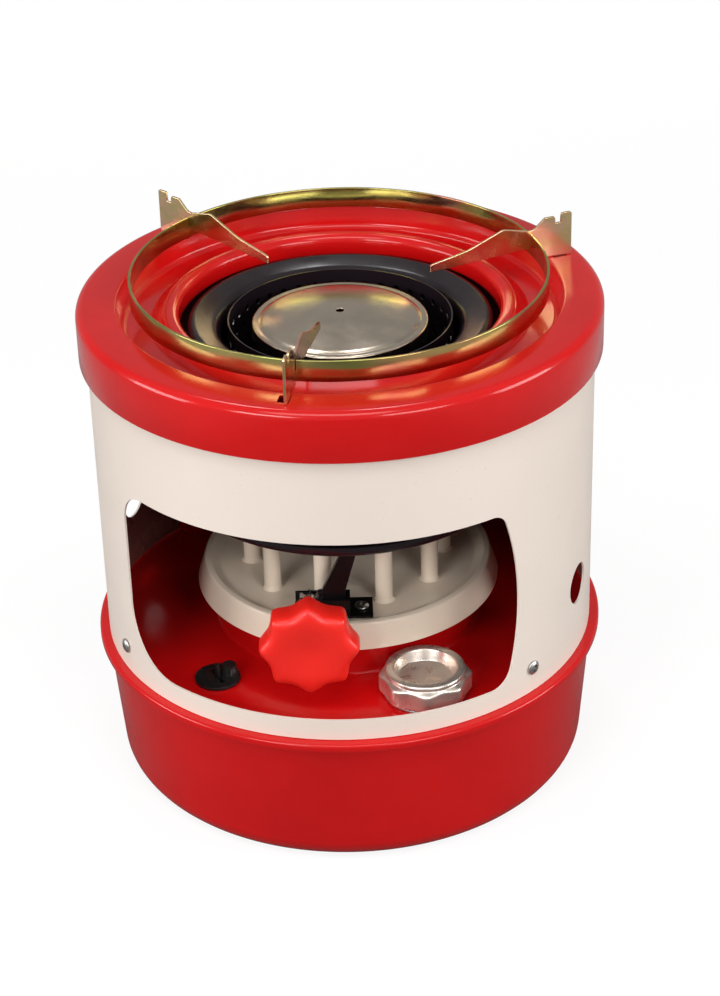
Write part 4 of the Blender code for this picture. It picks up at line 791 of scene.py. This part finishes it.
screwPieces()
for number in range(1, 5):
    refined(f"shellLug{number}", f"shell_lug_{number}", looks["tankRed"], "tank", "tank_enamel")
print("knob and screws made")

# Burner


def perforatedSheet(radius, wall, low, high, columns, rows, holeShare, border):
    cellWidth = 2 * pi * radius / columns
    cellHeight = (high - low - 2 * border) / rows
    shape = bmesh.new()
    square = bmesh.ops.create_circle(shape, segments=8, radius=0.5)["verts"]
    for vert in square:  # corners and middles of the sides of a unit cell
        vert.co /= max(abs(vert.co.x), abs(vert.co.y)) * 2
    bmesh.ops.create_circle(shape, segments=8, radius=holeShare)
    bmesh.ops.bridge_loops(shape, edges=shape.edges[:])
    unit = shape.verts[:] + shape.edges[:] + shape.faces[:]
    for vert in shape.verts:
        vert.co = (vert.co.x * cellWidth, 0, vert.co.y * cellHeight)
    for row in range(rows):
        for column in range(columns):
            if row == 0 and column == 0:
                continue
            verts = vertsOf(bmesh.ops.duplicate(shape, geom=unit))
            across = (column + (row % 2) / 2) * cellWidth
            bmesh.ops.translate(shape, verts=verts, vec=(across, 0, row * cellHeight))
    merge(shape, weld)
    bmesh.ops.translate(shape, verts=shape.verts, vec=(0, 0, low + border + cellHeight / 2))
    for vert in shape.verts:
        vert.co = aroundAxis(radius, vert.co.x / radius * 180 / pi, vert.co.z)
    merge(shape, weld)
    for edgeHeight, goal in ((low + border, low), (high - border, high)):
        rim = [
            edge for edge in shape.edges
            if edge.is_boundary and all(abs(vert.co.z - edgeHeight) < weld for vert in edge.verts)]
        for vert in vertsOf(bmesh.ops.extrude_edge_only(shape, edges=rim)):
            vert.co.z = goal
    return thickened(shape, radius, wall)


def burnerPieces():
    burner = {"openingRadius": 0.0365, "rimFlare": 0.0015, "rimRound": 0.0022, "airHole": 0.003,
              "airCircle": 0.05905, "neckHole": 0.0037}
    black = (looks["burnerBlack"], "burner", "black_enamel")
    low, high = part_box("burner_base")
    path = softCorners([
        (burner["openingRadius"], low.z, 0), (high.x - burner["rimFlare"], low.z, burner["rimRound"]),
        (high.x, high.z, 0)], steps=5)
    base = addPiece(
        "burnerBase", lathe(sheetLoop(path, steel["wall"]), rounds["burner"]), *black, ["burner_base"])
    halfStep = 180 / wickSet["count"]
    cuts = []
    for bearing in wickBearings:
        tubePlace = aroundAxis(wickSet["circle"], bearing, low.z)
        airPlace = aroundAxis(burner["airCircle"], bearing + halfStep, low.z)
        cuts.append(drillShape(burner["neckHole"], tubePlace, low.z))
        cuts.append(drillShape(burner["airHole"], airPlace, low.z))
    combine(base, cuts)

    casingLow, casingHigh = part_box("burner_casing")
    path = [(casingHigh.x, casingLow.z), (casingHigh.x, casingHigh.z)]
    addPiece(
        "burnerCasing", lathe(sheetLoop(path, steel["thinWall"]), rounds["burner"]), *black, ["burner_casing"])

    sleeve = {"columns": 40, "rows": 10, "holeShare": 0.21, "border": 0.0035}
    for name, node in (("outerSleeve", "outer_sleeve"), ("innerSleeve", "inner_sleeve")):
        sleeveLow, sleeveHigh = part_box(node)
        share = sleeveHigh.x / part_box("outer_sleeve")[1].x
        shape = perforatedSheet(
            sleeveHigh.x, steel["thinWall"], sleeveLow.z, sleeveHigh.z, int(sleeve["columns"] * share),
            sleeve["rows"], sleeve["holeShare"], sleeve["border"])
        addPiece(name, shape, *black, [node], sharp=40)

    ring = {"inner": 0.0538, "drop": 0.0096, "slope": 0.0042, "lip": 0.005, "shoulderRound": 0.0036,
            "innerRound": 0.0060}
    ringLow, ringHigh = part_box("flame_ring")
    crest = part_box("top_cover")[1].z - ring["drop"]
    path = softCorners([
        (ringHigh.x, ringLow.z, 0),
        (ringHigh.x, crest, ring["shoulderRound"]),
        (ring["inner"], crest - ring["slope"], ring["innerRound"]),
        (ring["inner"], crest - ring["slope"] - ring["lip"], 0)], steps=10)
    addPiece(
        "flameRing", lathe(sheetLoop(path, steel["thinWall"]), rounds["body"]), *black, ["flame_ring"])

    cap = {"rimDrop": 0.0040, "rimWidth": 0.003, "rimRound": 0.0011, "hole": 0.0018, "domeSteps": 24,
           "beadDip": 0.0003, "beadShare": 1.5}
    capLow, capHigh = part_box("burner_cap")
    rim = capHigh.z - cap["rimDrop"]
    inner = capHigh.x - cap["rimWidth"]
    bead = cap["beadDip"] * cap["beadShare"]
    path = softCorners([
        (capHigh.x, capLow.z, 0), (capHigh.x, rim, cap["rimRound"]),
        (inner, rim - cap["beadDip"], cap["rimRound"]),
        (inner - cap["rimWidth"] / 2, rim + bead, 0)], steps=5)
    start = path[-1][0]
    for step in range(1, cap["domeSteps"] + 1):
        share = step / cap["domeSteps"]
        reach = start + (cap["hole"] - start) * share
        path.append((reach, rim + bead + (cap["rimDrop"] - bead) * sin(pi / 2 * share)))
    addPiece(
        "burnerCap", lathe(sheetLoop(path, steel["thinWall"]), rounds["burner"]),
        looks["paleZinc"], "burner", "plain_zinc", ["burner_cap"])


burnerPieces()
print("burner made")

# Shell


def roundLoop(middle, height, radius, sides):
    angles = [2 * pi * index / sides for index in range(sides)]
    return [(middle + radius * cos(angle), height + radius * sin(angle)) for angle in angles]


def leans(edge):
    return abs(edge.verts[0].co.x - edge.verts[1].co.x) > tiny


# a flat blank rolled round; cut-outs are (arc length, height) loops
def rolledSheet(radius, wall, low, high, cutouts, columns):
    half = pi * radius
    shape = bmesh.new()
    edges = []
    for loop in [[(-half, low), (half, low), (half, high), (-half, high)], *cutouts]:
        points = [shape.verts.new((along, 0, height)) for along, height in loop]
        edges += [shape.edges.new(pair) for pair in zip(points, points[1:] + points[:1])]
    bmesh.ops.triangle_fill(shape, edges=edges, use_beauty=True)
    for index in range(1, columns):
        everything = shape.verts[:] + shape.edges[:] + shape.faces[:]
        cutAt = half * (2 * index / columns - 1)
        bmesh.ops.bisect_plane(shape, geom=everything, dist=tiny, plane_co=(cutAt, 0, 0), plane_no=(1, 0, 0))
    inside = [edge for edge in shape.edges if not edge.is_boundary and leans(edge)]
    bmesh.ops.dissolve_edges(shape, edges=inside, use_verts=False)
    spare = [vert for vert in shape.verts if not any(leans(edge) for edge in vert.link_edges)]
    bmesh.ops.dissolve_verts(shape, verts=spare)
    for vert in shape.verts:
        vert.co = aroundAxis(radius, vert.co.x / half * 180, vert.co.z)
    merge(shape)
    return thickened(shape, radius, wall)


def shellPiece():
    shell = {
        "windowBearing": -8.6, "windowHalf": 50.0, "sillRise": 0.0105, "windowHeight": 0.0888,
        "rounds": (0.030, 0.011, 0.125, 0.008, 0.016), "lean": (0.0077, 0.0102), "bulge": 0.0046,
        "portRadius": 0.0098, "portRise": 0.0355, "portBearings": (66.4, -113.6), "edge": 0.00028,
        "inward": 0.9}
    degree = pi * shellHigh.x / 180
    sill = deckTop + shell["sillRise"]
    left = (shell["windowBearing"] - shell["windowHalf"]) * degree
    right = (shell["windowBearing"] + shell["windowHalf"]) * degree
    top = sill + shell["windowHeight"]
    corners = [
        (left, sill), (right - shell["lean"][0], sill), (right + shell["bulge"], (sill + top) / 2),
        (right - shell["lean"][1], top), (left, top)]
    window = [(*corner, radius) for corner, radius in zip(corners, shell["rounds"])]
    cutouts = [softCorners(window, steps=14, closed=True)]
    for bearing in shell["portBearings"]:
        cutouts.append(roundLoop(
            bearing * degree, deckTop + shell["portRise"], shell["portRadius"], rounds["port"]))
    for bearing in shellScrews["bearings"]:
        cutouts.append(roundLoop(
            bearing * degree, deckTop + shellScrews["rise"], shellScrews["hole"], rounds["screwHole"]))
    shape = rolledSheet(shellHigh.x, steel["wall"], shellLow.z, shellHigh.z, cutouts, rounds["body"])
    piece = addPiece("bodyShell", shape, looks["shellCream"], "tank", "cream_enamel", ["body_shell"])
    # faces looking at the axis take the inside look, with its painted shade and painted red light
    piece.data.materials.append(looks["shellInsideToneAndShade"])
    for face in piece.data.polygons:
        middle = Vector((face.center.x, face.center.y, 0))
        if face.normal.dot(middle) < -middle.length * shell["inward"]:  # this face looks at the axis
            face.material_index = 1
    softenEdges(piece, shell["edge"], angle=60)


shellPiece()
print("shell made")

# Top cover and pot stand

fins = {"bearings": (-11.8, 108.2, -131.8), "slotHalf": 0.0009}


def coverPiece():
    cover = {
        "edgeRound": 0.0040, "stepRadius": 0.0998, "stepLean": 0.0026, "stepRound": 0.0016,
        "grooveDepth": 0.011, "grooveInner": 0.0845, "grooveRound": 0.0030, "lipRadius": 0.0782,
        "lipDrop": 0.004, "lipRound": 0.0038, "opening": 0.0720, "lipTail": 0.0094,
        "slotRadii": (0.1032, 0.1092), "slotRooms": (0.0034, 0.0008, 0.0034)}  # room in a slot beside its fin
    low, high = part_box("top_cover")
    floor = high.z - cover["grooveDepth"]
    lip = high.z - cover["lipDrop"]
    path = softCorners([
        (high.x, low.z, 0),
        (high.x, high.z, cover["edgeRound"]),
        (cover["stepRadius"], high.z, cover["stepRound"]),
        (cover["stepRadius"] - cover["stepLean"], floor, cover["grooveRound"]),
        (cover["grooveInner"], floor, cover["grooveRound"]),
        (cover["lipRadius"], lip, cover["lipRound"]),
        (cover["opening"], lip, cover["lipRound"]),
        (cover["opening"], lip - cover["lipTail"], 0)], steps=8)
    piece = addPiece(
        "topCover", lathe(sheetLoop(path, steel["wall"]), rounds["body"]),
        looks["coverRed"], "cover", "red_enamel", ["top_cover"])
    near, far = cover["slotRadii"]
    combine(piece, [
        blockShape(
            (-fins["slotHalf"] - room, -far - steel["gap"], high.z - drop),
            (fins["slotHalf"], -near + steel["gap"], high.z + drop), turnedTo(bearing))
        for bearing, room in zip(fins["bearings"], cover["slotRooms"])])


def ringPiece():
    ring = {"wall": 0.0012, "edge": 0.0003}
    low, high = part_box("stand_ring")
    inner = high.x - ring["wall"]
    loop = bandLoop(inner, high.x, low.z, high.z, ring["edge"])
    piece = addPiece(
        "standRing", lathe(loop, rounds["body"]),
        looks["yellowZinc"], "pot_stand", "yellow_zinc", ["stand_ring"])
    middle = (low.z + high.z) / 2 - steel["gap"] / 2
    combine(piece, [
        blockShape(
            (-fins["slotHalf"], -high.x - drop, middle), (fins["slotHalf"], -inner + drop, high.z + drop),
            turnedTo(bearing))
        for bearing in fins["bearings"]])


coverPiece()
ringPiece()
for number in range(1, 4):
    refined(
        f"standFin{number}", f"stand_fin_{number}", looks["finZinc"], "pot_stand", "yellow_zinc",
        width=0.0003, segments=3)
print("cover and pot stand made")

# Stage, lights and camera


def stageSetting():
    stage = {"reach": 6.0, "riseAt": 1.6, "rise": 3.0, "bend": 1.0, "grey": (120, 120, 120), "lift": 0.84,
             "darkReach": 0.24, "brightReach": 0.46, "sideReflectionGlow": 0.22}
    shape = bmesh.new()
    profile = softCorners([
        (-stage["reach"], 0, 0),
        (stage["riseAt"], 0, stage["bend"]),
        (stage["riseAt"], stage["rise"], 0)], steps=16)
    points = [shape.verts.new((-stage["reach"], along, height)) for along, height in profile]
    edges = [shape.edges.new(pair) for pair in zip(points, points[1:])]
    far = vertsOf(bmesh.ops.extrude_edge_only(shape, edges=edges))
    bmesh.ops.translate(shape, verts=far, vec=(2 * stage["reach"], 0, 0))
    bmesh.ops.recalc_face_normals(shape, faces=shape.faces)
    backdrop = placed("backdrop", meshOf(shape, "backdrop"))
    backdrop.data.shade_smooth()
    look, tree, shader = startLook("backdropWhite", 0.9)
    shader.inputs["Base Color"].default_value = (*screenColour(*stage["grey"]), 1)
    shader.inputs["Specular IOR Level"].default_value = 0.0
    path = tree.nodes.new("ShaderNodeLightPath")
    place = tree.nodes.new("ShaderNodeTexCoord")
    parts = tree.nodes.new("ShaderNodeSeparateXYZ")
    tree.links.new(place.outputs["Object"], parts.inputs["Vector"])
    # seen only in reflections, the backdrop glows at its sides and behind and stays dark in front: painted
    # reflections on the glossy parts
    behind = mathOf(tree, "ADD", parts.outputs["Y"], stage["darkReach"])
    reach = mathOf(tree, "MAXIMUM", mathOf(tree, "ABSOLUTE", parts.outputs["X"]), behind)
    sides = spreadOf(tree, reach, 0, stage["sideReflectionGlow"], stage["darkReach"], stage["brightReach"])
    lift = mathOf(
        tree, "ADD", mathOf(tree, "MULTIPLY", path.outputs["Is Camera Ray"], stage["lift"]),
        mathOf(tree, "MULTIPLY", path.outputs["Is Glossy Ray"], sides))
    shader.inputs["Emission Color"].default_value = (1, 1, 1, 1)
    tree.links.new(lift, shader.inputs["Emission Strength"])
    backdrop.data.materials.append(look)


def softLamp(name, place, goal, width, height, power):
    lamp = bpy.data.lights.new(name, "AREA")
    lamp.shape = "RECTANGLE"
    lamp.size = width
    lamp.size_y = height
    lamp.energy = power
    item = placed(name, lamp)
    item.location = place
    item.rotation_euler = (Vector(goal) - Vector(place)).to_track_quat("-Z", "Y").to_euler()


def lightSetting():
    lampGoal = (0, 0, 0.14)
    lamps = {  # place, width and height, power
        "frontHigh": ((-0.1, -0.75, 1.45), (1.0, 0.5), 6.0),
        "leftHigh": ((-0.34, 0.74, 1.60), (0.24, 0.30), 2.2),
        "rightHigh": ((0.12, 0.78, 1.60), (0.16, 0.30), 1.5),
        "leftSide": ((-1.75, -0.35, 0.62), (0.9, 0.7), 14.5),
        "rightSide": ((1.75, -0.35, 0.62), (0.9, 0.7), 15.0),
        "frontLeft": ((-0.96, -1.5, 0.98), (0.8, 0.40), 10.6),
        "frontRight": ((0.88, -1.52, 0.98), (0.8, 0.40), 9.2)}
    for name, (place, (width, height), power) in lamps.items():
        softLamp(name, place, lampGoal, width, height, power)
    sky = {"light": 0.33, "shine": 0.5}
    world = bpy.data.worlds.new("studio")
    bpy.context.scene.world = world
    world.use_nodes = True
    tree = world.node_tree
    background = tree.nodes["Background"]
    background.inputs["Color"].default_value = (1, 1, 1, 1)
    path = tree.nodes.new("ShaderNodeLightPath")
    darker = mathOf(
        tree, "ADD", mathOf(tree, "MULTIPLY", path.outputs["Is Diffuse Ray"], 1 - sky["light"]),
        mathOf(tree, "MULTIPLY", path.outputs["Is Glossy Ray"], 1 - sky["shine"]))
    tree.links.new(mathOf(tree, "SUBTRACT", 1, darker), background.inputs["Strength"])


def cameraSetting():
    view = {"place": (0.0066, -1.0190, 0.7020), "elevation": 29.42, "roll": -1.62, "lens": 90.47}
    rise, roll = radians(view["elevation"]), radians(view["roll"])
    back = Vector((0, -cos(rise), sin(rise)))
    right = Vector((1, 0, 0))
    up = back.cross(right)
    turnedRight = right * cos(roll) + up * sin(roll)
    turnedUp = up * cos(roll) - right * sin(roll)
    facing = Matrix((turnedRight, turnedUp, back)).transposed().to_4x4()
    camera = placed("camera", bpy.data.cameras.new("camera"))
    camera.matrix_world = Matrix.Translation(view["place"]) @ facing
    camera.data.lens = view["lens"]
    bpy.context.scene.camera = camera
    bpy.context.scene.view_settings.view_transform = "Standard"


stageSetting()
lightSetting()
cameraSetting()
